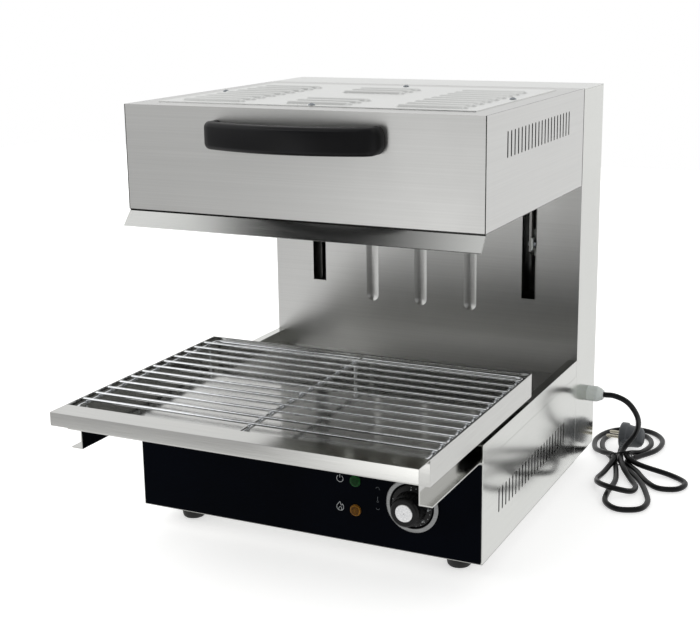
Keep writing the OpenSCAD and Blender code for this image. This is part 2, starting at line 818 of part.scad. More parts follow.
// polished reflector: an inverted pan with sloping sides
module reflector() {
    z0 = head_bot + sheet;
    foot = half_w - fold - 2;
    color(steel) place() difference() {
        union() {
            along_y(refl_y0, refl_y1) polygon([
                [-refl_foot_x, z0], [-foot, z0], [-refl_x, refl_z], [refl_x, refl_z], [foot, z0],
                [refl_foot_x, z0], [refl_foot_x, z0 + refl_t], [foot + 0.4, z0 + refl_t],
                [refl_x + 0.4, refl_z + refl_t], [-refl_x - 0.4, refl_z + refl_t],
                [-foot - 0.4, z0 + refl_t], [-refl_foot_x, z0 + refl_t]
            ]);
            for (y = [refl_y0, refl_y1 - refl_t])
                along_y(y, y + refl_t) polygon([
                    [-foot, z0], [foot, z0], [refl_x, refl_z + refl_t], [-refl_x, refl_z + refl_t]
                ]);
        }
        at_tube_ends() translate([0, 0, -2]) cylinder(d = tube_dia + 2 * run_gap, h = 4);
    }
}

module insulation() {
    z0 = refl_z + refl_t;
    color([0.9, 0.9, 0.86]) place() box([-refl_x + 2, refl_y0 + 2, z0], [refl_x - 2, refl_y1 - 2, z0 + 24]);
}

module at_tube_ends() {
    for (s = [-1, 1], e = [-1, 1])
        translate([s * elem_x + e * 1.5 * tube_pitch, refl_y1 - refl_t, head_bot + tube_z]) rotate([-90, 0, 0]) children();
}

// serpentine heating tube with both ends at the rear
module element(s) {
    y1 = refl_y1 - 24 - tube_pitch / 2;
    y0 = tube_y0 + tube_pitch / 2;
    end = refl_y1 + 2;
    color([0.35, 0.3, 0.28]) place() translate([s * elem_x, 0, head_bot + tube_z]) union() {
        for (i = [0 : tube_runs - 1]) {
            outer = i == 0 || i == tube_runs - 1;
            x = (i - (tube_runs - 1) / 2) * tube_pitch;
            translate([x, outer ? end : y1, 0]) rotate([90, 0, 0])
                cylinder(d = tube_dia, h = (outer ? end : y1) - y0, $fn = 32);
        }
        for (i = [0 : tube_runs - 2]) {
            front = i != 1;
            x = (i - (tube_runs - 2) / 2) * tube_pitch;
            translate([x, front ? y0 : y1, 0]) rotate([0, 0, front ? 180 : 0]) rotate_extrude(angle = 180, $fn = 48)
                translate([tube_pitch / 2, 0]) circle(d = tube_dia, $fn = 32);
        }
    }
}

module element_left() { element(-1); }
module element_right() { element(1); }

// combs that hang from the reflector and carry the tubes
module element_combs() {
    color(steel) place() for (s = [-1, 1], y = comb_y)
        difference() {
            box([s * elem_x - 2 * tube_pitch, y, head_bot + tube_z - tube_dia / 2 - 2],
                [s * elem_x + 2 * tube_pitch, y + 1.2, refl_z]);
            for (i = [0 : tube_runs - 1])
                translate([s * elem_x + (i - (tube_runs - 1) / 2) * tube_pitch, y - 1, head_bot + tube_z])
                    rotate([-90, 0, 0]) cylinder(d = tube_dia + 2 * run_gap, h = 4);
            for (i = [0 : tube_runs - 2])
                translate([s * elem_x + (i - (tube_runs - 2) / 2) * tube_pitch, y - 1, head_bot + tube_z + 12])
                    rotate([-90, 0, 0]) cylinder(d = 20, h = 4);
        }
}

// ceramic ends and nuts of the heating tubes
module element_terminals() {
    color([0.9, 0.88, 0.82]) place() at_tube_ends() difference() {
        union() {
            translate([0, 0, refl_t]) cylinder(d = 16, h = 3.4, $fn = 6);
            translate([0, 0, refl_t + 3.4 - eps]) cylinder(d = 9, h = 5);
            translate([0, 0, refl_t + 8.4 - 2 * eps]) cylinder(d = 3.6, h = 3.6);
        }
        translate([0, 0, -3]) cylinder(d = tube_dia + 2 * run_gap, h = refl_t + 6);
    }
}

// point at a radius and an angle
function polar(r, a) = [r * cos(a), r * sin(a)];

// flat curved band, the handle's thickness wide, between two angles
module arc_band(r, a0, a1, sides) {
    far = 3 * r;
    intersection() {
        difference() {
            circle(r = r + handle_t / 2, $fn = sides);
            circle(r = r - handle_t / 2, $fn = sides);
        }
        polygon([[0, 0], polar(far, a0), polar(far, (a0 + a1) / 2), polar(far, a1)]);
    }
}

// handle seen from above: one long arc between two end bends
module handle_plan() {
    y_bend = head_y0 - handle_foot;
    y_mid = y_bend + (handle_bow_r - handle_r) * sin(handle_turn);
    translate([0, y_mid]) arc_band(handle_bow_r, -180 + handle_turn, -handle_turn, 240);
    for (side = [0, 1]) mirror([side, 0]) {
        translate([handle_x - handle_r, y_bend]) arc_band(handle_r, -handle_turn, 0, 64);
        translate([handle_x - handle_t / 2, y_bend]) square([handle_t, handle_foot]);
    }
}

// handle seen from the front: a bar with rounded corners
module handle_front() {
    r = 6;
    square([handle_l, handle_h - 2 * r], center = true);
    square([handle_l - 2 * r, handle_h], center = true);
    for (a = [-1, 1], b = [-1, 1])
        translate([a * (handle_l / 2 - r), b * (handle_h / 2 - r)]) circle(r = r, $fn = 40);
}

// bowed handle
module handle() {
    color(black) place() translate([0, 0, top_z - handle_z]) difference() {
        intersection() {
            translate([0, 0, -handle_h / 2]) linear_extrude(handle_h) handle_plan();
            rotate([90, 0, 0]) linear_extrude(2 * front_d) handle_front();
        }
        for (s = [-1, 1])
            translate([s * handle_x, head_y0 + 1, 0]) rotate([90, 0, 0]) cylinder(d = 4, h = 13);
    }
}

module at_handle_ends() {
    for (s = [-1, 1])
        translate([s * handle_x, head_y0 + sheet, top_z - handle_z]) rotate([90, 0, 0]) children();
}

// screws that hold the handle from inside the head
module handle_screws() {
    color(steel) place() at_handle_ends() mirror([0, 0, 1]) pan_screw(3.9, 9, 3, sheet + 11);
}

// ---- lift mechanism ----

module at_arm_bolts() {
    for (s = [-1, 1], z = [neck_z + 14, arm_top - 14])
        translate([s * (slot_x - 16), head_y1, z]) rotate([90, 0, 0]) children();
}

// angle plate that carries the head through the column's slot
module lift_arm(s) {
    y_in = head_y1 - sheet - arm_t;
    color(steel) place() difference() {
        union() {
            along_x(s * slot_x - arm_t / 2, s * slot_x + arm_t / 2) polygon([
                [y_in, neck_z], [sheet + 2.3, neck_z], [sheet + 2.3, tail_z + 4], [sheet + 6.3, tail_z],
                [arm_back_y - 4, tail_z], [arm_back_y, tail_z + 4], [arm_back_y, arm_top], [y_in, arm_top]
            ]);
            span(s, [slot_x - 30, y_in, neck_z], [slot_x + arm_t / 2, y_in + arm_t, arm_top]);
        }
        at_arm_bolts() translate([0, 0, -1]) cylinder(d = 5.4, h = sheet + arm_t + 2);
        for (z = shoe_zs)
            translate([s * slot_x - 5, sheet + 8.3, z]) rotate([0, 90, 0]) cylinder(d = 4.2, h = 10);
    }
}

module lift_arm_left() { lift_arm(-1); }
module lift_arm_right() { lift_arm(1); }

// bolts of the arms: head to rear panel, and the shoes' bolts with their nuts
module arm_bolts() {
    out = slot_x + arm_t / 2 + 2;
    color(dark_steel) place() union() {
        at_arm_bolts() union() {
            translate([0, 0, -1.4]) cylinder(d = 9, h = 1.4);
            translate([0, 0, -1]) cylinder(d = 5, h = sheet + arm_t + 7);
            translate([0, 0, sheet + arm_t]) cylinder(d = 9, h = 4, $fn = 6);
        }
        for (s = [-1, 1], z = shoe_zs)
            translate([0, sheet + 8.3, z]) rotate([0, s * 90, 0]) union() {
                translate([0, 0, slot_x - arm_t / 2 - 2.5]) cylinder(d = 7, h = 2.5);
                translate([0, 0, slot_x - arm_t / 2 - 1]) cylinder(d = 4, h = arm_t + 8);
                translate([0, 0, out]) cylinder(d = 8, h = 3.2, $fn = 6);
            }
    }
}

// nylon shoes that run in the guide rails
module guide_shoes() {
    x0 = slot_x + arm_t / 2;
    color(white_nylon) place() for (s = [-1, 1], z = shoe_zs)
        difference() {
            union() {
                span(s, [x0, shoe_y - shoe_w / 2, z - shoe_h / 2], [x0 + shoe_d, shoe_y + shoe_w / 2, z + shoe_h / 2]);
                span(s, [x0, sheet + 2.3, z - 8], [x0 + 2, shoe_y, z + 8]);
            }
            translate([s * x0 - 4, sheet + 8.3, z]) rotate([0, 90, 0]) cylinder(d = 4.2, h = 8);
        }
}

// angle bar that joins the arms and rests on the gas springs
module cross_tie() {
    x = slot_x - arm_t / 2;
    color(steel) place() difference() {
        along_x(-x, x) polygon([
            [tie_y, tie_z], [spring_y + 12, tie_z], [spring_y + 12, tie_z + tie_t],
            [tie_y + tie_t, tie_z + tie_t], [tie_y + tie_t, tie_z + tie_h], [tie_y, tie_z + tie_h]
        ]);
        for (s = [-1, 1])
            translate([s * spring_x, spring_y, tie_z - 1]) cylinder(d = 6.2, h = tie_t + 2);
    }
}

module gas_rods() {
    color([0.85, 0.86, 0.88]) place() for (s = [-1, 1])
        translate([s * spring_x, spring_y, 0]) union() {
            translate([0, 0, cyl_z0 + cyl_h - 24]) cylinder(d = rod_dia, h = tie_z - cyl_z0 - cyl_h + 24);
            translate([0, 0, tie_z - eps]) cylinder(d = 6, h = tie_t + 6);
            translate([0, 0, tie_z + tie_t]) cylinder(d = 11, h = 5, $fn = 6);
        }
}

// ---- tray and rack ----

// shallow pan with an overhanging front lip to pull it by
module tray() {
    color(steel) place() union() {
        difference() {
            box([-tray_x, tray_y0, tray_z], [tray_x, tray_y1, tray_top]);
            box([-tray_x + tray_t, tray_y0 + tray_t, tray_z + tray_t],
                [tray_x - tray_t, tray_y1 - tray_t, tray_top + 1]);
        }
        along_x(-tray_x, tray_x) polygon([
            [tray_y0 + tray_t, tray_top], [tray_front, tray_top], [tray_front, tray_top - tray_lip_h],
            [tray_front + tray_t, tray_top - tray_lip_h], [tray_front + tray_t, tray_top - tray_t],
            [tray_y0 + tray_t, tray_top - tray_t]
        ]);
    }
}

// Z-section under the tray, whose lower flange runs in the side rail
module runner(s) {
    z = rail_bot_z + run_gap;
    w = half_w - rail_t - 1;
    color(steel) place() along_y(tray_y0 + runner_set, tray_y1) polygon([
        [s * (web_x - 14), tray_z], [s * web_x, tray_z], [s * web_x, z + runner_t], [s * w, z + runner_t],
        [s * w, z], [s * (web_x - runner_t), z], [s * (web_x - runner_t), tray_z - runner_t],
        [s * (web_x - 14), tray_z - runner_t]
    ]);
}

module runner_left() { runner(-1); }
module runner_right() { runner(1); }

module wire_x(d, x0, x1) {
    translate([x0, 0, 0]) rotate([0, 90, 0]) cylinder(d = d, h = x1 - x0, $fn = 24);
}

module wire_y(d, y0, y1) {
    translate([0, y1, 0]) rotate([90, 0, 0]) cylinder(d = d, h = y1 - y0, $fn = 24);
}

// bent frame of the welded rack, with its middle stay
module rack_frame() {
    color(steel) place() translate([0, 0, rack_z]) union() {
        for (y = [rack_y0, rack_y1]) translate([0, y, 0]) wire_x(frame_wire, -rack_x + rack_r, rack_x - rack_r);
        for (x = [-rack_x, rack_x]) translate([x, 0, 0]) wire_y(frame_wire, rack_y0 + rack_r, rack_y1 - rack_r);
        wire_y(frame_wire, rack_y0, rack_y1);
        for (c = [[1, 1, 0], [-1, 1, 90], [-1, -1, 180], [1, -1, 270]])
            translate([c[0] * (rack_x - rack_r), c[1] > 0 ? rack_y1 - rack_r : rack_y0 + rack_r, 0])
                rotate([0, 0, c[2]]) rotate_extrude(angle = 90, $fn = 48)
                    translate([rack_r, 0]) circle(d = frame_wire, $fn = 24);
    }
}

// cross wires, each sunk into the frame by its weld
module rack_wires() {
    pitch = (rack_y1 - rack_y0) / (cross_n + 1);
    half = rack_x + frame_wire / 2 + 2.5;
    color(steel) place() translate([0, 0, rack_z + (frame_wire + cross_wire) / 2 - weld_sink]) union() {
        for (i = [1 : cross_n]) translate([0, rack_y0 + i * pitch, 0]) wire_x(cross_wire, -half, half);
    }
}

// short round-ended legs under the frame, also sunk by their welds
module rack_legs() {
    leg = rack_z - frame_wire / 2 - tray_z - tray_t - run_gap;
    color(steel) place() translate([0, 0, rack_z - frame_wire / 2 - leg]) union() {
        for (x = [-rack_x, 0, rack_x], y = [rack_y0 + 20, rack_y1 - 20])
            translate([x, y, 0]) union() {
                translate([0, 0, 2]) cylinder(d = 4, h = leg + weld_sink - 2, $fn = 24);
                translate([0, 0, 2]) sphere(d = 4, $fn = 24);
            }
    }
}

// ---- mains lead ----

function unit(v) = v / norm(v);

// point of the smooth curve from b to c that comes from a and goes on to d
function curve(a, b, c, d, t) =
    (2 * b + (c - a) * t + (2 * a - 5 * b + 4 * c - d) * t * t + (3 * b - a - 3 * c + d) * t * t * t) / 2;

// rings stand on the route's points, and halfway along its longer stretches
function ring_centres(route) = let(last = len(route) - 1) [
    for (i = [0 : last - 1])
        let(a = i > 0 ? route[i - 1] : 2 * route[0] - route[1])
        let(d = i < last - 1 ? route[i + 2] : 2 * route[last] - route[last - 1])
        for (t = norm(route[i + 1] - route[i]) > long_stretch ? [0, 0.5] : [0])
            curve(a, route[i], route[i + 1], d, t),
    route[last]
];

function headings(c) = let(last = len(c) - 1)
    [for (i = [0 : last]) unit(c[min(i + 1, last)] - c[max(i - 1, 0)])];

function square_to(v, heading) = unit(v - (v * heading) * heading);

// the direction of each ring's first corner, carried along without twist
function ring_sides(h, i = 0, side = [0, 0, 1]) = i == len(h) ? [] :
    let(now = square_to(side, h[i])) concat([now], ring_sides(h, i + 1, now));

// moves to the gland's mouth, on the standing surface
module at_mouth() {
    translate([half_w + gland_l, gland_y, 0]) children();
}

module mains_lead() {
    c = ring_centres(LEAD);
    h = headings(c);
    side = ring_sides(h);
    m = lead_sides;
    rings = len(c);
    points = [
        for (i = [0 : rings - 1], j = [0 : m - 1])
            c[i] + lead_dia / 2 * (cos(360 * j / m) * side[i] + sin(360 * j / m) * cross(h[i], side[i]))
    ];
    walls = [
        for (i = [0 : rings - 2], j = [0 : m - 1])
            [i * m + j, (i + 1) * m + j, (i + 1) * m + (j + 1) % m, i * m + (j + 1) % m]
    ];
    ends = [[for (j = [0 : m - 1]) j], [for (j = [m - 1 : -1 : 0]) (rings - 1) * m + j]];
    color(black) place() at_mouth() polyhedron(points, concat(walls, ends), convexity = 8);
}

// band round the six strands of the hank
module lead_tie() {
    w = 3 * strand_gap + 4.4;
    h = 2 * strand_gap + 0.8;
    color(black) place() at_mouth() translate([tie_at[0], tie_at[1], h / 2 + 0.85])
        rotate([0, 0, hank_angle]) rotate([90, 0, 0]) translate([0, 0, -1.5]) linear_extrude(3) difference() {
            band_outline(w + 1.6, h + 1.6, 4.8);
            band_outline(w, h, 4);
        }
}

module band_outline(w, h, r) {
    square([w - 2 * r, h], center = true);
    square([w, h - 2 * r], center = true);
    for (x = [-1, 1], z = [-1, 1])
        translate([x * (w / 2 - r), z * (h / 2 - r)]) circle(r = r, $fn = 40);
}

// moulded round plug, standing on its rim, with a tapered strain relief
module mains_plug() {
    r = plug_dia / 2;
    end = LEAD[len(LEAD) - 1];
    color(black) place() at_mouth() difference() {
        union() {
            translate([plug_at[0], plug_at[1], r]) rotate([0, 90, 0]) rotate_extrude($fn = 72) polygon([
                [0, 0], [r - 1.2, 0], [r, 1.2], [r, 9], [r - 1, 10], [r - 2.4, 11], [r - 3.4, 16],
                [r - 4, 26], [r - 6, 30], [r - 9, 32], [0, 32]
            ]);
            translate(end) rotate([relief_angle - 90, 0, 0]) cylinder(r1 = lead_dia / 2 + 0.7, r2 = 7.5, h = 29);
        }
        for (i = [0 : 3])
            translate(end) rotate([relief_angle - 90, 0, 0]) translate([0, 0, 4.5 + i * 4.4]) difference() {
                cylinder(d = 20, h = 1.6);
                translate([0, 0, -1]) cylinder(r = lead_dia / 2 + 0.2 + i * 0.5, h = 4);
            }
        for (y = [-pin_pitch / 2, pin_pitch / 2])
            translate([plug_at[0] - 1, plug_at[1] + y, r]) rotate([0, 90, 0]) cylinder(d = plug_pin, h = 9);
    }
}

// the two contact pins
module plug_pins() {
    color([0.8, 0.78, 0.7]) place() at_mouth() for (y = [-pin_pitch / 2, pin_pitch / 2])
        translate([plug_at[0] + 8, plug_at[1] + y, plug_dia / 2]) rotate([0, -90, 0]) rotate_extrude($fn = 32)
            polygon([[0, 0], [plug_pin / 2, 0], [plug_pin / 2, 26], [plug_pin / 2 - 0.8, 27], [0, 27]]);
}

base_side_left();
base_side_right();
base_floor();
base_deck();
front_plate();
control_panel();
rail_left();
rail_right();
feet();
foot_screws();
column_front();
column_side_left();
column_side_right();
column_back();
column_floor();
column_top();
column_screws();
guide_rails();
gas_cylinders();
spring_forks();
spring_pins();
knob_bezel();
thermostat();
lamp_green();
lamp_amber();
lamp_bodies();
terminal_block();
cable_gland();
head_shell();
head_top_cover();
cover_screws();
head_lip();
head_rear();
reflector();
insulation();
element_left();
element_right();
element_combs();
element_terminals();
handle();
handle_screws();
lift_arm_left();
lift_arm_right();
arm_bolts();
guide_shoes();
cross_tie();
gas_rods();
tray();
runner_left();
runner_right();
rack_frame();
rack_wires();
rack_legs();
knob();
knob_cap();
thermostat_shaft();
mains_lead();
mains_plug();
plug_pins();
lead_tie();
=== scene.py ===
# %% [markdown]
# # A lift-head cheese melter
# This lesson dresses a catering grill: brushed and mirror-bright stainless sheet, a glossy
# black control panel, a plated wire rack and a coiled rubber lead. The CAD model gives every
# part its place and size, in metres. Here the parts get their surfaces, and the few that a
# CAD solid can't show well, such as the moulded handle and the lead, are modelled again.

import math

import bmesh
import bpy
from mathutils import Matrix, Vector


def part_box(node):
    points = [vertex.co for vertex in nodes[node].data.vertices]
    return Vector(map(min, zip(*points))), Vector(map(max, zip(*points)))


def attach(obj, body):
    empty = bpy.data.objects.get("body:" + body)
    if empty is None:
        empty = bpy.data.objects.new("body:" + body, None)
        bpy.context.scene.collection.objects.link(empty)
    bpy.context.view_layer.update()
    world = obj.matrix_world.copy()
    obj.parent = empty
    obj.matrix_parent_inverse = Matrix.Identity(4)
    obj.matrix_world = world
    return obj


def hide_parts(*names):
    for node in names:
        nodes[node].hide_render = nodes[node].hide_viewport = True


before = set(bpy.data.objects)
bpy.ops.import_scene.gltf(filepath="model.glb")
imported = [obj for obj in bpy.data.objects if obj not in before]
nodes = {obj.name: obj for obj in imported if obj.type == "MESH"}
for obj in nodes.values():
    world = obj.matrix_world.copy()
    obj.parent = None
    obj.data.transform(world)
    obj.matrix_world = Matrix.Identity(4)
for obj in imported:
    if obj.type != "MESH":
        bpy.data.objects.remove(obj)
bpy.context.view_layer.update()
scene = bpy.context.scene

# %% [markdown]
# ## Units
# Workshop drawings are in millimetres and Blender works in metres. On the drawings of this
# machine y counts from the front face of the rear column, z from the table, x from the
# middle. One function turns such a point into Blender's, and another turns the usual hex
# colours, which are made for screens, into the linear numbers that shaders count in. Whatever
# is made gets an object, which gives it a name and a place in the scene.

# %% Points, colours and objects
COLUMN_FACE = 221.8  # y of the column's front face in the shared frame, in mm
MM = 0.001


def at(x, y, z):
    """A point of the drawing, in mm, as a point of the scene, in metres."""
    return Vector((x * MM, (y + COLUMN_FACE) * MM, z * MM))


def linear(hex_code):
    """An sRGB hex colour as the linear red, green, blue and alpha that shaders want."""
    srgb = [int(hex_code[i : i + 2], 16) / 255 for i in (1, 3, 5)]
    return [c / 12.92 if c <= 0.04045 else ((c + 0.055) / 1.055) ** 2.4 for c in srgb] + [1.0]


def axes(x_axis, y_axis, z_axis, spot):
    """The matrix that puts something at a spot, turned to three axes."""
    rows = [[x_axis[i], y_axis[i], z_axis[i], spot[i]] for i in range(3)]
    return Matrix(rows + [[0, 0, 0, 1]])


def in_scene(name, data):
    """A new object of the scene: a mesh, a curve, a lamp or a camera, with a name and a place."""
    piece = bpy.data.objects.new(name, data)
    scene.collection.objects.link(piece)
    return piece


print("column face at", tuple(round(c, 4) for c in at(0, 0, 0)))

# %% [markdown]
# ## The camera
# The camera stands about a metre and a half in front, to the right and a little above. It
# could be aimed by hand in the viewport, but three angles give the same view every time: how
# far it looks down, how far it turns to the left, and a slight roll.

# %% Camera
down, left, roll = (math.radians(a) for a in (13.934, 25.823, 0.777))
eye = at(692.8, -1656.7, 663.3)
forward = Vector(
    (-math.sin(left) * math.cos(down), math.cos(left) * math.cos(down), -math.sin(down))
)
level = Vector((math.cos(left), math.sin(left), 0))
below = forward.cross(level)
right = math.cos(roll) * level + math.sin(roll) * below
under = -math.sin(roll) * level + math.cos(roll) * below

camera = in_scene("camera", bpy.data.cameras.new("camera"))
camera.data.lens = 68.295  # mm, for a sensor 36 mm wide
camera.data.sensor_width = 36
camera.data.clip_end = 50
camera.matrix_world = axes(right, -under, -forward, eye)
scene.camera = camera
print("camera at", [round(c, 3) for c in camera.matrix_world.translation])

# %% [markdown]
# ## A node at a time
# A Blender material is a small machine of nodes. It could be wired by hand, but in code it
# can be read and used again. It stays readable when one helper adds a node, fills its
# settings and joins its inputs, whatever kind it is.

# %% Adding nodes
def add(tree, kind, inputs=None, give=0, **settings):
    """Adds a node and gives one of its outputs, or the node itself for None.

    A setting is an attribute of the node; an input is a value, or a socket to join.
    """
    node = tree.nodes.new(kind)
    for name, value in settings.items():
        setattr(node, name, value)
    for name, value in (inputs or {}).items():
        if isinstance(value, bpy.types.NodeSocket):
            tree.links.new(value, node.inputs[name])
        else:
            node.inputs[name].default_value = value
    return node if give is None else node.outputs[give]


def new_material(name, **shader):
    """A material with one Principled shader; names use underscores for the shader's spaces."""
    material = bpy.data.materials.new(name)
    material.use_nodes = True
    tree = material.node_tree
    bsdf = tree.nodes["Principled BSDF"]
    for key, value in shader.items():
        bsdf.inputs[key.replace("_", " ")].default_value = value
    return material, tree, bsdf


def feed(tree, shader, **sockets):
    """Joins sockets to a shader's inputs, with underscores for the spaces in their names."""
    for key, socket in sockets.items():
        tree.links.new(socket, shader.inputs[key.replace("_", " ")])


print("node helpers:", add.__name__, new_material.__name__, feed.__name__)

# %% [markdown]
# ## Steps that materials share
# Most materials are built from noise of a chosen size and a colour that follows it. Each could
# be written out where it is used. As a named function it says what it does, and its settings
# are the same everywhere.

# %% Common steps
def tint(tree, value, low, high, dark, light):
    """A colour between two hex colours, by where a value lies from low to high."""
    share = add(tree, "ShaderNodeMapRange", {"Value": value, "From Min": low, "From Max": high})
    ends = {"Factor": share, "A": linear(dark), "B": linear(light)}
    return add(tree, "ShaderNodeMix", ends, "Result", data_type="RGBA")


def scaled(tree, factors):
    """The surface's point, each axis stretched, so that a unit of noise is a chosen size."""
    point = add(tree, "ShaderNodeTexCoord", give="Object")
    return add(tree, "ShaderNodeVectorMath", {0: point, 1: factors}, operation="MULTIPLY")


def spots(tree, per_metre, detail):
    """Noise in soft spots, so many to the metre along every axis."""
    return add(
        tree, "ShaderNodeTexNoise",
        {
            "Vector": scaled(tree, (per_metre,) * 3), "Scale": 1.0, "Detail": detail,
            "Roughness": 0.55,
        },
    )


steps = (tint, scaled, spots)
print("steps:", ", ".join(function.__name__ for function in steps))

# %% [markdown]
# ## The mains lead
# A lead is a fixed length of rubber-sheathed cable. This one leaves a nylon gland in the
# column's side, drops to the table and lies there as a loose hank, tied once in the middle.
# A swept mesh would do for it, but a Blender curve with a round bevel keeps it readable: its
# middle line runs smoothly through given points, and its length is quickly measured.
# It goes in first, with the camera, because its length and the room it takes are checked.

# %% Curves through points
def smooth_line(points, steps):
    """Points along the smooth curve that passes through all the given ones."""
    ends = [2 * points[0] - points[1]] + points + [2 * points[-1] - points[-2]]
    found = []
    for a, b, c, d in zip(ends, ends[1:], ends[2:], ends[3:]):
        first, second, third = c - a, 2 * a - 5 * b + 4 * c - d, 3 * b - a - 3 * c + d
        for i in range(steps):
            t = i / steps
            found.append((2 * b + first * t + second * t**2 + third * t**3) / 2)
    return found + [points[-1]]


def tube(name, points, diameter, closed=False, ring=3):
    """A round tube along points, as a curve object."""
    curve = bpy.data.curves.new(name, "CURVE")
    curve.dimensions = "3D"
    curve.bevel_depth = diameter / 2 * MM
    curve.bevel_resolution = ring
    curve.use_fill_caps = True
    spline = curve.splines.new("POLY")
    spline.points.add(len(points) - 1)
    for target, point in zip(spline.points, points):
        target.co = (*point, 1)
    spline.use_cyclic_u = closed
    spline.use_smooth = True
    return in_scene(name, curve)


print("curve helpers:", smooth_line.__name__, tube.__name__)

# %% Route of the lead
MOUTH = at(247, 60, 0)  # the gland's mouth, but on the table
LEAD_D = 7.5
ROUTE = [
    (0, 0, 105), (16, 0, 105), (33, 3, 97), (43, 15, 77), (42, 32, 55), (33, 43, 35), (23, 36, 20),
    (23, 16, 13.4), (35, -16, 10), (51, -41, 4.5), (64, -65, 4.2), (63, -88, 6), (44, -102, 12.5),
    (21, -88, 11), (10, -57, 4.8), (13, -25, 6), (15, 13, 13.4), (-9, 36, 9), (-26, 62, 4.2),
    (-34, 100, 4), (-24, 140, 4), (3, 162, 4), (35, 157, 4), (56, 128, 4), (57, 86, 4),
    (40, 48, 4.2), (31, 19, 5.2), (52, -9, 4.2), (73, -41, 4), (93, -58, 4), (116, -51, 4),
    (121, -26, 4), (97, -5, 4.2), (52, 4, 9.5), (31, 19, 13.4), (28, 48, 8.2), (40, 68, 4.5),
    (45, 104, 4), (33, 134, 4), (7, 146, 4), (-16, 130, 4), (-23, 98, 4), (-14, 62, 4),
    (6, 31, 4.5), (15, 13, 5.2), (26, -20, 4.2), (34, -56, 4), (35, -97, 4), (41, -131, 4),
    (61, -149, 4), (86, -139, 4), (91, -112, 4), (80, -77, 4), (64, -43, 4), (42, -13, 4.2),
    (23, 16, 5.2), (15, 33, 5.5), (15, 48, 8.7),
]


def by_mouth(x, y, z):
    """A point given from the gland's mouth, in mm, with z from the table."""
    return MOUTH + Vector((x, y, z)) * MM


line = smooth_line([by_mouth(*p) for p in ROUTE], 7)
lead = tube("rubber_lead", line, LEAD_D, ring=5)

# %% [markdown]
# ## Sheet steel and its grain
# The casing is austenitic stainless steel in several mill finishes. The front of the head, the
# deck and the column's face are brushed: fine parallel scratches that smear reflections across
# the grain. The top is satin. The side panels and the lip are bright annealed, nearly a
# mirror, the tray is pressed from bright sheet, the ring round the knob is turned, and the
# hidden sheets are cold rolled. Where two sheets of the head meet, a dark line of painted
# shade goes into the colour, for the shadow in the narrow gap between them.
#
# A picture of brushed steel could be mapped on, but noise that is stretched along the grain has
# no seams and suits every panel. One function makes all the finishes, from the spacing of the
# scratches, how long they run, and the roughness. Real scratches are a few hundredths of a
# millimetre apart; these are coarser, so that they show. The grain runs left to right, except
# on panels that face sideways, where it runs front to back: the surface's own direction
# chooses. A brushed sheet's roughness stays within a narrow range, because a grain that
# crosses from nearly glossy to nearly matt would render in patches.

# %% Stainless steel
FACES_SIDEWAYS = 0.7  # least part of the surface's direction that lies along x
CLOUDS_PER_METRE = 14  # patches where the sheet was wiped and handled
# colour of the painted shade in the gaps where the head's sheets meet
GAP_SHADE = "#2A2A29"


def grain_frame(tree):
    """How far a surface faces sideways, 0 or 1, and the direction across its grain."""
    facing = add(tree, "ShaderNodeTexCoord", give="Normal")
    x = add(tree, "ShaderNodeSeparateXYZ", {0: facing}, "X")
    sideways = add(
        tree, "ShaderNodeMath",
        {0: add(tree, "ShaderNodeMath", {0: x}, operation="ABSOLUTE"), 1: FACES_SIDEWAYS},
        operation="GREATER_THAN",
    )
    grain = add(
        tree, "ShaderNodeMix", {"Factor": sideways, "A": (1, 0, 0), "B": (0, 1, 0)}, "Result",
        data_type="VECTOR",
    )
    normal = add(tree, "ShaderNodeNewGeometry", give="Normal")
    crossed = {0: normal, 1: grain}
    return sideways, add(tree, "ShaderNodeVectorMath", crossed, operation="CROSS_PRODUCT")


def gap_shade_in(tree, joints):
    """Painted shade: 1 inside any of the joints, each an axis and two places along it in mm, else
    0.
    """
    point = add(tree, "ShaderNodeTexCoord", give="Object")
    places = add(tree, "ShaderNodeSeparateXYZ", {0: point}, None).outputs
    painted_shade = 0.0
    for axis, low_mm, high_mm in joints:
        above = add(
            tree, "ShaderNodeMath", {0: places[axis], 1: low_mm * MM}, operation="GREATER_THAN"
        )
        below = add(
            tree, "ShaderNodeMath", {0: places[axis], 1: high_mm * MM}, operation="LESS_THAN"
        )
        painted_shade = add(
            tree, "ShaderNodeMath",
            {0: painted_shade, 1: add(tree, "ShaderNodeMath", {0: above, 1: below}, operation="MULTIPLY")},
            operation="MAXIMUM",
        )
    return painted_shade


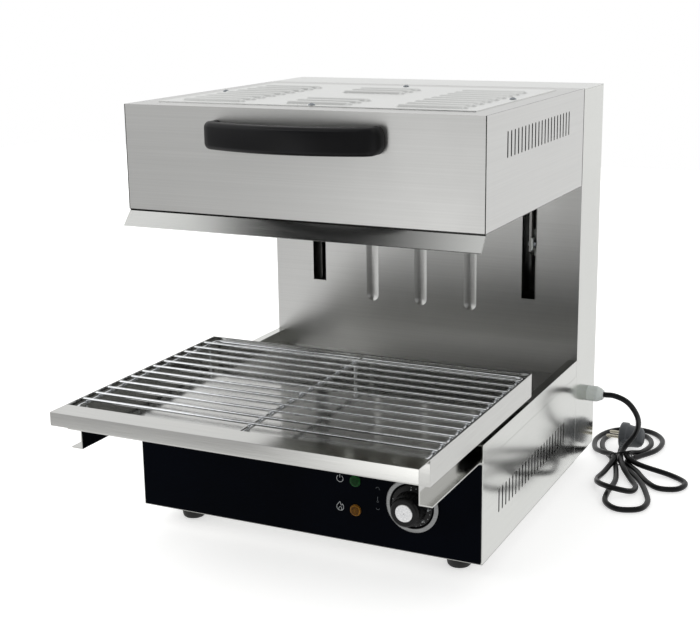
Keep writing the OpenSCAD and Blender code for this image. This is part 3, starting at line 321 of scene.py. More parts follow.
def stainless(
    name, hex_dark, hex_light, roughness, spacing_mm, run_mm, depth_mm, stretch, smear, joints=()
):
    """Stainless sheet: colours of the grooves and lands; spacing, length and depth of the
    scratches; how far they stretch a reflection; how far the roughness varies; where a dark
    line of painted shade goes in the joints."""
    material, tree, bsdf = new_material(name, Metallic=1.0, Anisotropic=stretch)
    sideways, across = grain_frame(tree)
    fine, long = 1000 / spacing_mm, 1000 / run_mm
    along_x, along_y = scaled(tree, (long, fine, fine)), scaled(tree, (fine, long, fine))
    scratches = add(
        tree, "ShaderNodeTexNoise",
        {
            "Vector": add(
                tree, "ShaderNodeMix", {"Factor": sideways, "A": along_x, "B": along_y}, "Result",
                data_type="VECTOR",
            ),
            "Scale": 1.0, "Detail": 2, "Roughness": 0.55,
        },
    )
    worn = add(
        tree, "ShaderNodeMapRange",
        {
            "Value": scratches, "From Min": 0.3, "From Max": 0.7, "To Min": roughness - smear,
            "To Max": roughness + smear,
        },
    )
    handled = add(
        tree, "ShaderNodeMapRange",
        {
            "Value": spots(tree, CLOUDS_PER_METRE, 2), "From Min": 0.35, "From Max": 0.75,
            "To Min": -0.005, "To Max": 0.02,
        },
    )
    colour = tint(tree, scratches, 0.25, 0.75, hex_dark, hex_light)
    # a dark line of painted shade, for the shadow in the gaps between the sheets
    if joints:
        colour = add(
            tree, "ShaderNodeMix",
            {"Factor": gap_shade_in(tree, joints), "A": colour, "B": linear(GAP_SHADE)}, "Result",
            data_type="RGBA",
        )
    feed(
        tree, bsdf, Base_Color=colour,
        Roughness=add(tree, "ShaderNodeMath", {0: worn, 1: handled}, operation="ADD"),
    )
    feed(
        tree, bsdf,
        Normal=add(
            tree, "ShaderNodeBump",
            {"Height": scratches, "Distance": depth_mm * MM, "Strength": 1.0},
        ),
        Tangent=across,
    )
    return material


# the colour of the painted shade in the joints
print("dirt in the joints:", GAP_SHADE)

# %% Steel finishes
BRUSH = ("#CBCBC9", "#D2D2D0", 0.288, 1.8, 260, 0.0001, 0.6, 0.005)  # of every brushed sheet
HEAD_LOW = 401  # z of the head's lower edge, in mm
# where painted shade darkens the joints: the head's side seams and lower edge, and the lip's
# flange seen through the gap
HEAD_JOINTS = [("X", 223.6, 224.75), ("X", -224.75, -223.8), ("Z", HEAD_LOW - 2, HEAD_LOW + 0.5)]
LIP_JOINTS = [("Z", HEAD_LOW - 1.6, HEAD_LOW + 2)]

BRUSHED = stainless("brushed_stainless", *BRUSH)
HEAD_FRONT = stainless("brushed_head_stainless", *BRUSH, HEAD_JOINTS)
HEAD_LIP = stainless(
    "bright_lip_stainless", "#CFD0CE", "#D8D9D6", 0.12, 0.5, 80, 0.00004, 0.2, 0.01, LIP_JOINTS
)
SATIN = stainless("satin_top_sheet", "#E4E5E3", "#EAEBE9", 0.34, 0.9, 160, 0.00005, 0.2, 0.01)
BRIGHT = stainless(
    "bright_annealed_stainless", "#D4D5D1", "#DCDDD9", 0.15, 0.5, 80, 0.00004, 0.2, 0.01
)
PLAIN = stainless("cold_rolled_stainless", "#A9A9A6", "#B7B7B4", 0.36, 1.0, 12, 0.004, 0.1, 0.04)
PAN = stainless("pressed_tray_stainless", "#C6C6C3", "#CFCFCC", 0.11, 0.8, 50, 0.0001, 0.2, 0.015)
TRIM = stainless("turned_trim_steel", "#7A7B7B", "#9A9B9B", 0.22, 0.5, 30, 0.0006, 0.4, 0.06)
steels = (BRUSHED, HEAD_FRONT, HEAD_LIP, SATIN, BRIGHT, PLAIN, PAN, TRIM)
print("steel finishes:", [steel.name for steel in steels])

# %% [markdown]
# ## Wire, screws and heating tubes
# The rack is drawn wire, welded and then plated with bright nickel and chrome: a smooth mirror
# with faint ripples from the drawing die. Screws are zinc plated, a bluish grey. The heating
# tubes are nickel-alloy sheaths that a first firing turns matt dark grey with brown patches.
# One flat grey would make them all look like painted plastic, so each gets soft spots of its
# own size, from one noise that moves colour, gloss and height together.

# %% Plated and heated metal
def ripple_metal(name, hex_dark, hex_light, roughness, ripple_mm, depth_mm, spread=0.05):
    """A metal whose colour, gloss and height vary in soft spots of a given size."""
    material, tree, bsdf = new_material(name, Metallic=1.0)
    ripples = spots(tree, 1000 / ripple_mm, 4)
    feed(
        tree, bsdf, Base_Color=tint(tree, ripples, 0.35, 0.65, hex_dark, hex_light),
        Roughness=add(
            tree, "ShaderNodeMapRange",
            {
                "Value": ripples, "From Min": 0.3, "From Max": 0.7, "To Min": roughness - spread,
                "To Max": roughness + spread,
            },
        ),
        Normal=add(
            tree, "ShaderNodeBump", {"Height": ripples, "Distance": depth_mm * MM, "Strength": 1.0}
        ),
    )
    return material


CHROME = ripple_metal("chromed_wire", "#D8DADC", "#E6E8EA", 0.07, 6, 0.01, 0.02)
ZINC = ripple_metal("zinc_plated_steel", "#8F949A", "#ABB0B5", 0.32, 1.5, 0.02)
SPUN = ripple_metal("spun_aluminium", "#D9DADB", "#ECECEC", 0.22, 2, 0.004)
NICKEL = ripple_metal("nickel_plated_brass", "#B5B0A2", "#CBC6B8", 0.22, 1.2, 0.01)
SHEATH = ripple_metal("fired_element_sheath", "#3B3734", "#57504A", 0.55, 5, 0.03, 0.1)
print("other metals:", [metal.name for metal in (CHROME, ZINC, SPUN, NICKEL, SHEATH)])

# %% [markdown]
# ## Plastics, rubber and ceramics
# Moulded parts carry the texture of their mould: a spark-eroded grain on the handle and the
# plug, a smoother one on the knob. The gland is natural nylon, a milky plastic that lets light
# into its edges. The grain is far too fine to model, so it is a bump of fine noise, while
# slower clouds keep the colour from being dead even. The grain is drawn somewhat coarser than
# the real one, so that it shows.

# %% Moulded materials
DULL = {"IOR": 1.5, "Specular_IOR_Level": 0.25}  # dark parts whose grain scatters the gloss


def moulded(name, hex_dark, hex_light, roughness, grit_mm, depth_mm, **shader):
    """A non-metal with the fine grain of its mould."""
    material, tree, bsdf = new_material(name, **shader)
    grit, clouds = spots(tree, 1000 / grit_mm, 5), spots(tree, 30, 2)
    feed(
        tree, bsdf, Base_Color=tint(tree, clouds, 0.3, 0.7, hex_dark, hex_light),
        Roughness=add(
            tree, "ShaderNodeMapRange",
            {
                "Value": grit, "From Min": 0.3, "From Max": 0.7, "To Min": roughness - 0.06,
                "To Max": roughness + 0.06,
            },
        ),
        Normal=add(
            tree, "ShaderNodeBump", {"Height": grit, "Distance": depth_mm * MM, "Strength": 1.0}
        ),
    )
    return material


HANDLE_RESIN = moulded("black_phenolic_resin", "#050507", "#09090C", 0.36, 0.9, 0.006, **DULL)
KNOB_RESIN = moulded("black_knob_resin", "#060608", "#0B0B0D", 0.28, 0.8, 0.006, **DULL)
PLUG_RUBBER = moulded("moulded_plug_rubber", "#4C4F52", "#5A5D61", 0.50, 0.9, 0.02, IOR=1.5)
LEAD_RUBBER = moulded("lead_sheath_rubber", "#070809", "#0D0E10", 0.34, 1.4, 0.03, **DULL)
FOOT_RUBBER = moulded("foot_rubber", "#040404", "#090909", 0.62, 1.0, 0.03, IOR=1.5)
BAKELITE = moulded("switch_bakelite", "#15130F", "#201C16", 0.42, 1.0, 0.01, IOR=1.6)
NYLON = moulded(
    "natural_nylon", "#DCE3DF", "#EDF1EE", 0.36, 1.2, 0.01,
    IOR=1.53, Subsurface_Weight=0.35, Subsurface_Radius=(0.004, 0.004, 0.0035),
)
STEATITE = moulded(
    "glazed_steatite", "#D9D2BF", "#E8E2D2", 0.28, 2.0, 0.01, IOR=1.6, Coat_Weight=0.3
)
FIBRE = moulded("ceramic_fibre_board", "#BDB9AC", "#D5D1C5", 0.95, 0.7, 0.12)
ENAMEL = moulded("black_cylinder_enamel", "#060607", "#0D0D0F", 0.16, 3.0, 0.004, Coat_Weight=0.4)
print("moulded finishes:", HANDLE_RESIN.name, NYLON.name, FIBRE.name)

# %% [markdown]
# ## The control panel and its lamps
# The panel is a black polyester overlay on steel, smooth with the faint orange peel of its
# adhesive. Its symbols are screen printed in pale grey ink. The lenses of the pilot lamps are
# green and amber polycarbonate, moulded with small pyramids. Unlit, they look nearly solid,
# so they are an opaque plastic with lighter cells, which renders cleaner than clear plastic.

# %% Panel, ink and lenses
LENS_CELLS_PER_METRE = 620


def glossy_sheet(name, hex_dark, hex_light, roughness, peel_mm, depth_mm, **shader):
    """A smooth film with orange peel."""
    material, tree, bsdf = new_material(name, Roughness=roughness, **shader)
    feed(
        tree, bsdf,
        Normal=add(
            tree, "ShaderNodeBump",
            {"Height": spots(tree, 1000 / peel_mm, 1), "Distance": depth_mm * MM, "Strength": 1.0},
        ),
        Base_Color=tint(tree, spots(tree, 9, 2), 0.3, 0.7, hex_dark, hex_light),
    )
    return material


def lens_plastic(name, hex_dark, hex_light):
    """Coloured polycarbonate in small cells, each lightest in its middle."""
    material, tree, bsdf = new_material(name, Roughness=0.3, IOR=1.585, Specular_IOR_Level=0.12)
    point = scaled(tree, (LENS_CELLS_PER_METRE,) * 3)
    inputs = {"Vector": point, "Scale": 1.0, "Randomness": 0.15}
    cells = add(tree, "ShaderNodeTexVoronoi", inputs, "Distance")
    colour = tint(tree, cells, 0.6, 0.15, hex_dark, hex_light)
    feed(
        tree, bsdf, Base_Color=colour,
        Normal=add(
            tree, "ShaderNodeBump", {"Height": cells, "Distance": 0.25 * MM, "Strength": 1.0}
        ),
    )
    return material


PANEL_FILM = glossy_sheet(
    "black_polyester_overlay", "#020409", "#040710", 0.12, 5, 0.002,
    IOR=1.5, Specular_IOR_Level=0.02,
)
INK = glossy_sheet("pale_screen_ink", "#C2C7CA", "#D6DADC", 0.5, 0.6, 0.005)
DIM_INK = glossy_sheet("grey_screen_ink", "#44494D", "#5C6165", 0.5, 0.6, 0.005)
GREEN_LENS = lens_plastic("green_polycarbonate", "#06300E", "#17752A")
AMBER_LENS = lens_plastic("amber_polycarbonate", "#4A2E06", "#D9962A")
print("panel finishes:", PANEL_FILM.name, INK.name, GREEN_LENS.name)

# %% [markdown]
# ## Dressing the CAD parts
# Most sheet parts already have the right shape, slots and folds included, so they keep it and
# only take a finish. Pressed sheet never has razor edges, though: a weld and a narrow bevel
# round them, which puts the thin bright line on every fold. As modifiers they leave the CAD
# mesh itself alone.

# %% Finishes of the CAD parts
FINISHES = {
    BRUSHED: "column_front head_rear front_plate base_deck",
    HEAD_FRONT: "head_shell",
    HEAD_LIP: "head_lip",
    SATIN: "head_top_cover column_top",
    BRIGHT: "base_side_left base_side_right column_side_left column_side_right column_back "
    "rail_left rail_right reflector",
    PAN: "tray runner_left runner_right",
    PLAIN: "base_floor column_floor guide_rails lift_arm_left lift_arm_right cross_tie "
    "spring_forks",
    CHROME: "rack_frame rack_wires rack_legs gas_rods",
    TRIM: "knob_bezel",
    ZINC: "foot_screws column_screws cover_screws handle_screws arm_bolts spring_pins "
    "thermostat_shaft",
    SPUN: "knob_cap",
    NICKEL: "plug_pins",
    SHEATH: "element_left element_right",
    HANDLE_RESIN: "handle",
    KNOB_RESIN: "knob",
    BAKELITE: "thermostat lamp_bodies",
    PLUG_RUBBER: "mains_plug",
    LEAD_RUBBER: "mains_lead lead_tie",
    FOOT_RUBBER: "feet",
    NYLON: "cable_gland guide_shoes terminal_block",
    STEATITE: "element_combs element_terminals",
    FIBRE: "insulation",
    ENAMEL: "gas_cylinders",
    PANEL_FILM: "control_panel",
    GREEN_LENS: "lamp_green",
    AMBER_LENS: "lamp_amber",
}
for material, names in FINISHES.items():
    for name in names.split():
        mesh = nodes[name].data
        mesh.materials.clear()
        mesh.materials.append(material)
undressed = set(nodes) - set(" ".join(FINISHES.values()).split())
print("CAD parts without a finish:", sorted(undressed))

# %% Rounded edges
EDGES = {  # width of the rounded edge, in mm
    "column_top": 0.35, "tray": 0.35, "rail_left": 0.35, "rail_right": 0.35,
    "control_panel": 0.35, "head_lip": 0.55,
}


def soften(name, width_mm):
    """Rounds the edges of a CAD part by a narrow bevel."""
    node = nodes[name]
    weld = node.modifiers.new("join", "WELD")
    weld.merge_threshold = 0.005 * MM
    edge = node.modifiers.new("edge", "BEVEL")
    edge.width = width_mm * MM
    edge.segments = 2
    edge.limit_method = "ANGLE"
    edge.angle_limit = math.radians(50)
    edge.use_clamp_overlap = True


for name, width_mm in EDGES.items():
    soften(name, width_mm)
print("parts with rounded edges:", len(EDGES))

# %% [markdown]
# ## The lifting handle
# The handle is a bowed bar of phenolic resin, pressed in a closed mould, so no edge of it is
# sharp and its ends run down into the two feet that are screwed to the head. A curve with a
# bevel could follow the bow, but it couldn't draw in the ends. So a rounded section is swept
# along the bow, ring by ring, in one skin, and near the ends each ring is drawn in a little,
# as the mould does.

# %% Line and section of the handle
HANDLE_LENGTH, HANDLE_HEIGHT, HANDLE_THICK, HANDLE_MIDDLE = 218, 31, 15, 495
BOW_RADIUS, BOW_CENTRE_Y = 267.91, -128.34
BEND_RADIUS, BEND_X, BEND_Y, BEND_TURN = 15, 86.5, -366, 70
FRONT_FACE = -360  # y of the head's front
CORNER_ROUND, END_ROUND = 5.6, 9
LEAST_HEIGHT = 0.45  # of the full height, at the very end


def mesh_piece(name, bm):
    """A smooth-shaded object from a bmesh, its faces turned outwards."""
    bmesh.ops.recalc_face_normals(bm, faces=bm.faces)
    mesh = bpy.data.meshes.new(name)
    bm.to_mesh(mesh)
    bm.free()
    for face in mesh.polygons:
        face.use_smooth = True
    return in_scene(name, mesh)


def on_arc(x, y, radius, degrees):
    """A point of an arc round x and y, then the direction outwards there."""
    out_x, out_y = math.cos(math.radians(degrees)), math.sin(math.radians(degrees))
    return x + radius * out_x, y + radius * out_y, out_x, out_y


def handle_half():
    """Middle line from the right foot to the centre: x, y and the outward direction."""
    foot = [(BEND_X + BEND_RADIUS, y, 1, 0) for y in (FRONT_FACE, FRONT_FACE - 3, BEND_Y)]
    bend = [on_arc(BEND_X, BEND_Y, BEND_RADIUS, -BEND_TURN * i / 12) for i in range(1, 13)]
    angles = [-BEND_TURN - (90 - BEND_TURN) * i / 20 for i in range(1, 21)]
    return foot + bend + [on_arc(0, BOW_CENTRE_Y, BOW_RADIUS, angle) for angle in angles]


def rounded_section(thick, height, radius, steps=6):
    """Outline of a bar with round corners: how far out, how far up."""
    corner_out, corner_up = thick / 2 - radius, height / 2 - radius
    ring = []
    for quarter, (sx, sz) in enumerate(((1, 1), (-1, 1), (-1, -1), (1, -1))):
        for i in range(steps + 1):
            a = math.radians(90 * (quarter + i / steps))
            spot = (sx * corner_out + radius * math.cos(a), sz * corner_up + radius * math.sin(a))
            ring.append(spot)
    return ring


right_half = handle_half()
left_half = [(-x, y, -nx, ny) for x, y, nx, ny in reversed(right_half[:-1])]
print("rings along the handle:", len(right_half) + len(left_half))

# %% Handle
bm = bmesh.new()
rings = []
for x, y, nx, ny in right_half + left_half:
    ring = []
    for outwards, up in rounded_section(HANDLE_THICK, HANDLE_HEIGHT, CORNER_ROUND):
        px, py = x + nx * outwards, y + ny * outwards
        past = max(0, abs(px) - (HANDLE_LENGTH / 2 - END_ROUND))
        tall = HANDLE_HEIGHT / 2 - END_ROUND + math.sqrt(max(0, END_ROUND**2 - past**2))
        share = max(LEAST_HEIGHT, tall / (HANDLE_HEIGHT / 2))
        ring.append(bm.verts.new(at(px, py, HANDLE_MIDDLE + up * share)))
    rings.append(ring)
for one, two in zip(rings, rings[1:]):
    for i in range(len(one)):
        j = (i + 1) % len(one)
        bm.faces.new((one[i], one[j], two[j], two[i]))
bm.faces.new(rings[0])
bm.faces.new(rings[-1][::-1])
handle = mesh_piece("phenolic_handle", bm)
handle.data.materials.append(HANDLE_RESIN)
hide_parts("handle")
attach(handle, "head")
print("handle:", len(handle.data.polygons), "faces")

# %% [markdown]
# ## Repeats grown by Geometry Nodes
# Three things on this machine repeat by a rule: the rack's cross wires with their welds, the
# marks on the dial and the facets of the lamp lenses. A node tree states each rule once, with
# named inputs, so another rack or dial only needs other numbers. Each tree ends by making its
# copies real and giving them their material; the grown mesh is then kept and the tree let go.

# %% Tree helpers
def rule(name, **inputs):
    """A new tree with named inputs. Returns it and its input node's outputs."""
    tree = bpy.data.node_groups.new(name, "GeometryNodeTree")
    kinds = {int: "NodeSocketInt", float: "NodeSocketFloat", Vector: "NodeSocketVector"}
    for label, kind in inputs.items():
        label = label.replace("_", " ")
        tree.interface.new_socket(label, in_out="INPUT", socket_type=kinds[kind])
    tree.interface.new_socket("Geometry", in_out="OUTPUT", socket_type="NodeSocketGeometry")
    return tree, add(tree, "NodeGroupInput", give=None).outputs


def close(tree, geometry, material, smooth=True):
    """Ends a tree: real copies, smooth or flat faces, and the material."""
    real = add(tree, "GeometryNodeRealizeInstances", {"Geometry": geometry})
    shaded = add(tree, "GeometryNodeSetShadeSmooth", {0: real, "Shade Smooth": smooth})
    coated = add(tree, "GeometryNodeSetMaterial", {"Geometry": shaded, "Material": material})
    add(tree, "NodeGroupOutput", {0: coated}, None)


def grow(name, tree, **values):
    """Runs a tree with the given inputs and keeps the mesh it makes."""
    piece = in_scene(name, bpy.data.meshes.new(name))
    modifier = piece.modifiers.new("grow", "NODES")
    modifier.node_group = tree
    for item in tree.interface.items_tree:
        if item.in_out == "INPUT":
            modifier[item.identifier] = values[item.name.replace(" ", "_")]
    grown = piece.evaluated_get(bpy.context.evaluated_depsgraph_get())
    mesh = bpy.data.meshes.new_from_object(grown)
    piece.modifiers.remove(modifier)
    piece.data = mesh
    print(name, "has", len(mesh.polygons), "faces")
    return piece


print("tree helpers:", ", ".join(helper.__name__ for helper in (rule, close, grow)))

# %% [markdown]
# ## The rack's cross wires
# Twelve bright wires lie across the rack's frame and its middle bar. Each is resistance welded
# at three places, where a little metal is squeezed out between the two wires. An array
# modifier could copy one wire, but drawn wire is never quite straight, so a slow noise bends
# this one by a tenth of a millimetre or two, and the tree adds its three welds.

# %% Cross wires
WIRES = 12
SQUEEZED_OUT = (1.25, 1.25, 0.6)  # how a ball of weld metal is flattened
wires_low, wires_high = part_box("rack_wires")
frame_low, frame_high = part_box("rack_frame")
WIRE_D = wires_high[2] - wires_low[2]
FRAME_D = frame_high[2] - frame_low[2]

tree, given = rule(
    "welded_wires", Wires=int, First=Vector, Pitch=float, Length=float, Diameter=float,
    Rail_Distance=float, Bend=float,
)
# one wire: a line across the rack, bent a little, with a round section
wire_radius = add(tree, "ShaderNodeMath", {0: given["Diameter"], 1: 0.5}, operation="MULTIPLY")
half = add(tree, "ShaderNodeMath", {0: given["Length"], 1: 0.5}, operation="MULTIPLY")
ends = {
    "Start": add(
        tree, "ShaderNodeCombineXYZ",
        {"X": add(tree, "ShaderNodeMath", {0: half, 1: -1.0}, operation="MULTIPLY")},
    ),
    "End": add(tree, "ShaderNodeCombineXYZ", {"X": half}),
}
straight = add(tree, "GeometryNodeCurvePrimitiveLine", ends)
parts = add(tree, "GeometryNodeResampleCurve", {"Curve": straight, "Count": 25})
place = add(tree, "GeometryNodeInputPosition")
wander = add(tree, "ShaderNodeTexNoise", {"Vector": place, "Scale": 9.0, "Detail": 1.0}, "Fac")
shift = add(
    tree, "ShaderNodeMath",
    {0: add(tree, "ShaderNodeMath", {0: wander, 1: 0.5}, operation="SUBTRACT"), 1: given["Bend"]},
    operation="MULTIPLY",
)
moved = {"Geometry": parts, "Offset": add(tree, "ShaderNodeCombineXYZ", {"Y": shift})}
bent = add(tree, "GeometryNodeSetPosition", moved)
section = add(tree, "GeometryNodeCurvePrimitiveCircle", {"Resolution": 18, "Radius": wire_radius})
swept = {"Curve": bent, "Profile Curve": section, "Fill Caps": True}
wire = add(tree, "GeometryNodeCurveToMesh", swept)
# its welds: a flattened ball of metal at each of the three crossings
ball = {"Segments": 14, "Rings": 8, "Radius": wire_radius}
nugget = add(tree, "GeometryNodeMeshUVSphere", ball)
squeezed = add(tree, "GeometryNodeTransform", {"Geometry": nugget, "Scale": SQUEEZED_OUT})
left_rail = add(tree, "ShaderNodeMath", {0: given["Rail Distance"], 1: -1.0}, operation="MULTIPLY")
under_wire = add(tree, "ShaderNodeMath", {0: given["Diameter"], 1: -0.42}, operation="MULTIPLY")
rails = {
    "Count": 3,
    "Start Location": add(tree, "ShaderNodeCombineXYZ", {"X": left_rail, "Z": under_wire}),
}
rails["Offset"] = add(tree, "ShaderNodeCombineXYZ", {"X": given["Rail Distance"]})
crossings = add(tree, "GeometryNodeMeshLine", rails)
welds = add(tree, "GeometryNodeInstanceOnPoints", {"Points": crossings, "Instance": squeezed})
pair = add(tree, "GeometryNodeJoinGeometry", give=None)
tree.links.new(wire, pair.inputs[0])
tree.links.new(welds, pair.inputs[0])
# both together, once for every wire
row = {"Count": given["Wires"], "Start Location": given["First"]}
row["Offset"] = add(tree, "ShaderNodeCombineXYZ", {"Y": given["Pitch"]})
seats = add(tree, "GeometryNodeMeshLine", row)
copies = add(tree, "GeometryNodeInstanceOnPoints", {"Points": seats, "Instance": pair.outputs[0]})
close(tree, copies, CHROME)

wires = grow(
    "welded_cross_wires", tree, Wires=WIRES,
    First=(0.0, wires_low[1] + WIRE_D / 2, (wires_low[2] + wires_high[2]) / 2),
    Pitch=(wires_high[1] - wires_low[1] - WIRE_D) / (WIRES - 1),
    Length=wires_high[0] - wires_low[0], Diameter=WIRE_D,
    Rail_Distance=frame_high[0] - FRAME_D / 2, Bend=0.6 * MM,
)
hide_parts("rack_wires")
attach(wires, "rack")

# %% [markdown]
# ## The dial's print
# The knob's skirt is a shallow cone with a temperature scale printed on it in pale ink: a short
# mark every 15 degrees and a number at every third one. The scale could be painted into the
# knob's material, but as thin geometry it stays sharp from close by. The marks follow a rule
# and are grown; the numbers are text, cut out of Blender's own font and laid on the cone.

# %% Dial marks
KNOB_X, KNOB_Z, PANEL_FACE = 142, 84, -361.5
CONE_TILT = math.radians(25)
MARK_RADIUS, MARK_STAND = 23.2, 5.32  # of the marks' middle: from the axis, from the panel
MARK_THICK = 0.08

tree, given = rule(
    "dial_marks", Marks=int, Centre=Vector, Radius=float, Stand=float, Step=float, Length=float,
    Width=float,
)
size = add(
    tree, "ShaderNodeCombineXYZ", {"X": given["Width"], "Y": MARK_THICK * MM, "Z": given["Length"]}
)
mark = add(tree, "GeometryNodeMeshCube", {"Size": size})
lifted = add(
    tree, "ShaderNodeCombineXYZ",
    {
        "Y": add(tree, "ShaderNodeMath", {0: given["Stand"], 1: -1.0}, operation="MULTIPLY"),
        "Z": given["Radius"],
    },
)
laid = {"Geometry": mark, "Rotation": (-CONE_TILT, 0, 0), "Translation": lifted}
raised = add(tree, "GeometryNodeTransform", laid)
stack = {"Count": given["Marks"], "Start Location": given["Centre"], "Offset": (0, 0, 0)}
centres = add(tree, "GeometryNodeMeshLine", stack)
spin = add(
    tree, "ShaderNodeCombineXYZ",
    {
        "Y": add(
            tree, "ShaderNodeMath", {0: add(tree, "GeometryNodeInputIndex"), 1: given["Step"]},
            operation="MULTIPLY",
        )
    },
)
turned_marks = {"Points": centres, "Instance": raised, "Rotation": spin}
close(tree, add(tree, "GeometryNodeInstanceOnPoints", turned_marks), INK, smooth=False)
marks = grow(
    "dial_marks", tree, Marks=20, Centre=at(KNOB_X, PANEL_FACE, KNOB_Z),
    Radius=MARK_RADIUS * MM, Stand=MARK_STAND * MM, Step=math.radians(15), Length=1.1 * MM,
    Width=0.45 * MM,
)

# %% Dial numbers
NUMBER_RADIUS, NUMBER_SIZE, INK_THICK = 20.9, 2.7, 0.03
CONE_RADIUS, CONE_STAND = 21.7, 6.0  # of one place on the cone: from the axis, from the panel


def printed(name, words, size_mm, matrix, ink):
    """Words as a flat mesh on a surface that the matrix gives."""
    curve = bpy.data.curves.new(name, "FONT")
    curve.body, curve.size, curve.extrude = words, size_mm * MM, INK_THICK * MM
    curve.align_x, curve.align_y = "CENTER", "CENTER"
    source = in_scene(name + "_text", curve)
    shaped = source.evaluated_get(bpy.context.evaluated_depsgraph_get())
    mesh = bpy.data.meshes.new_from_object(shaped)
    bpy.data.objects.remove(source)
    mesh.transform(matrix)
    mesh.materials.clear()
    mesh.materials.append(ink)
    return in_scene(name, mesh)


def on_cone(angle, radius):
    """Place and turn of a word on the knob's skirt, at an angle from the top."""
    away = Vector((math.sin(angle), 0, math.cos(angle)))
    side = Vector((math.cos(angle), 0, -math.sin(angle)))
    slope = away * math.cos(CONE_TILT) + Vector((0, math.sin(CONE_TILT), 0))
    face = side.cross(slope)
    stand = CONE_STAND + (CONE_RADIUS - radius) * math.tan(CONE_TILT)
    middle = at(KNOB_X, PANEL_FACE - stand, KNOB_Z)
    return axes(side, slope, face, middle + away * radius * MM + face * INK_THICK * MM)


numbers = [
    printed(
        "dial_number_%d" % i, str(50 * i), NUMBER_SIZE,
        on_cone(math.radians(45 * i), NUMBER_RADIUS), INK,
    )
    for i in range(7)
]
for piece in [marks] + numbers:
    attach(piece, "knob")
print("numbers on the dial:", len(numbers))

# %% [markdown]
# ## Symbols on the panel
# Two symbols stand beside the pilot lamps, power and heat, and a faint thermometer between two
# arcs stands beside the dial. They could be painted, but they are plain lines, so each is a
# thin curve sunk into the film until only a hair of ink stands proud.

# %% Panel symbols
def turned(radius, start, end, steps=24):
    """Points of an arc, with angles from the top, clockwise."""
    angles = [math.radians(start + (end - start) * i / steps) for i in range(steps + 1)]
    return [(radius * math.sin(a), radius * math.cos(a)) for a in angles]


def flowing(*points):
    """The smooth line through some points of the panel."""
    return [(v.x, v.y) for v in smooth_line([Vector((x, z, 0)) for x, z in points], 6)]


STROKE, SUNK = 0.8, 0.2
FLAME_BACK = flowing(
    (-0.7, 5.5), (-2.6, 2.6), (-4.3, 0.2), (-4.2, -2.9), (-1.7, -5.2), (1.9, -5.0), (4.1, -2.8),
    (4.2, 0.2), (2.9, 3.1),
)
FLAME_TIP = flowing((2.9, 3.1), (2.0, 1.2), (0.5, 2.3), (0.4, 4.3), (-0.7, 5.5))
TONGUE = flowing((-1.8, -4.9), (-1.9, -2.8), (0.1, -0.7), (1.8, -2.6), (1.8, -4.8))
SYMBOLS = {
    "power_ring": (50, 102, INK, turned(4.1, 30, 330)),
    "power_bar": (50, 102, INK, [(0, 0.9), (0, 5.2)]),
    "flame_outer": (50, 68, INK, FLAME_BACK),
    "flame_inner": (50, 68, INK, FLAME_TIP),
    "heat_tongue": (50, 68, INK, TONGUE),
    "upper_arc": (98, 96.5, DIM_INK, turned(2.2, -80, 110)),
    "thermometer": (98, 84, DIM_INK, [(0, 3.2), (0, -2.2)]),
    "thermometer_bulb": (98, 81.2, DIM_INK, turned(1.0, 0, 360)),
    "lower_arc": (98, 73.5, DIM_INK, turned(2.2, 100, 260)),
}
for name, (x, z, ink, points) in SYMBOLS.items():
    stroke = [at(x + px, PANEL_FACE + SUNK, z + pz) for px, pz in points]
    symbol = tube("symbol_" + name, stroke, STROKE)
    symbol.data.materials.append(ink)
    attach(symbol, "frame")
print("symbols:", len(SYMBOLS))

# %% [markdown]
# ## Facets of the pilot lamps
# A pilot lamp's lens is cut into small pyramids, so that the neon tube behind it lights the
# whole disc. A bump would flatten out at the rim, so real facets are grown. The rule: a grid of
# points, those outside the rim left out, dropped a little towards the rim, with a four-sided
# cone on each.

# %% Lens facets
def faceted_lens(material):
    """The tree of a lens that faces the front, in one colour."""
    tree, given = rule(
        "faceted_lens", Radius=float, Pitch=float, Height=float, Crown=float, Place=Vector
    )
    size = add(tree, "ShaderNodeMath", {0: given["Radius"], 1: 2.0}, operation="MULTIPLY")
    count = add(tree, "ShaderNodeMath", {0: size, 1: given["Pitch"]}, operation="DIVIDE")
    square = {"Size X": size, "Size Y": size, "Vertices X": count, "Vertices Y": count}
    grid = add(tree, "GeometryNodeMeshGrid", square)
    place = add(tree, "GeometryNodeInputPosition")
    away = add(tree, "ShaderNodeVectorMath", {0: place}, "Value", operation="LENGTH")
    outside = add(tree, "ShaderNodeMath", {0: away, 1: given["Radius"]}, operation="GREATER_THAN")
    disc = add(tree, "GeometryNodeDeleteGeometry", {"Geometry": grid, "Selection": outside})
    share = add(tree, "ShaderNodeMath", {0: away, 1: given["Radius"]}, operation="DIVIDE")
    drop = add(
        tree, "ShaderNodeMath",
        {
            0: add(tree, "ShaderNodeMath", {0: share, 1: share}, operation="MULTIPLY"),
            1: add(tree, "ShaderNodeMath", {0: given["Crown"], 1: -1.0}, operation="MULTIPLY"),
        },
        operation="MULTIPLY",
    )
    domed = {"Geometry": disc, "Offset": add(tree, "ShaderNodeCombineXYZ", {"Z": drop})}
    crown = add(tree, "GeometryNodeSetPosition", domed)
    pyramid = {"Vertices": 4, "Radius Top": 0.0, "Depth": given["Height"]}
    pyramid["Radius Bottom"] = add(
        tree, "ShaderNodeMath", {0: given["Pitch"], 1: 0.72}, operation="MULTIPLY"
    )
    cone = add(tree, "GeometryNodeMeshCone", pyramid)
    turn = add(tree, "ShaderNodeCombineXYZ", {"Z": math.radians(45)})
    planted = {"Points": crown, "Instance": cone, "Rotation": turn}
    facets = add(tree, "GeometryNodeInstanceOnPoints", planted)
    upright = {"Geometry": facets, "Rotation": (math.radians(90), math.radians(45), 0)}
    upright["Translation"] = given["Place"]
    close(tree, add(tree, "GeometryNodeTransform", upright), material, smooth=False)
    return tree


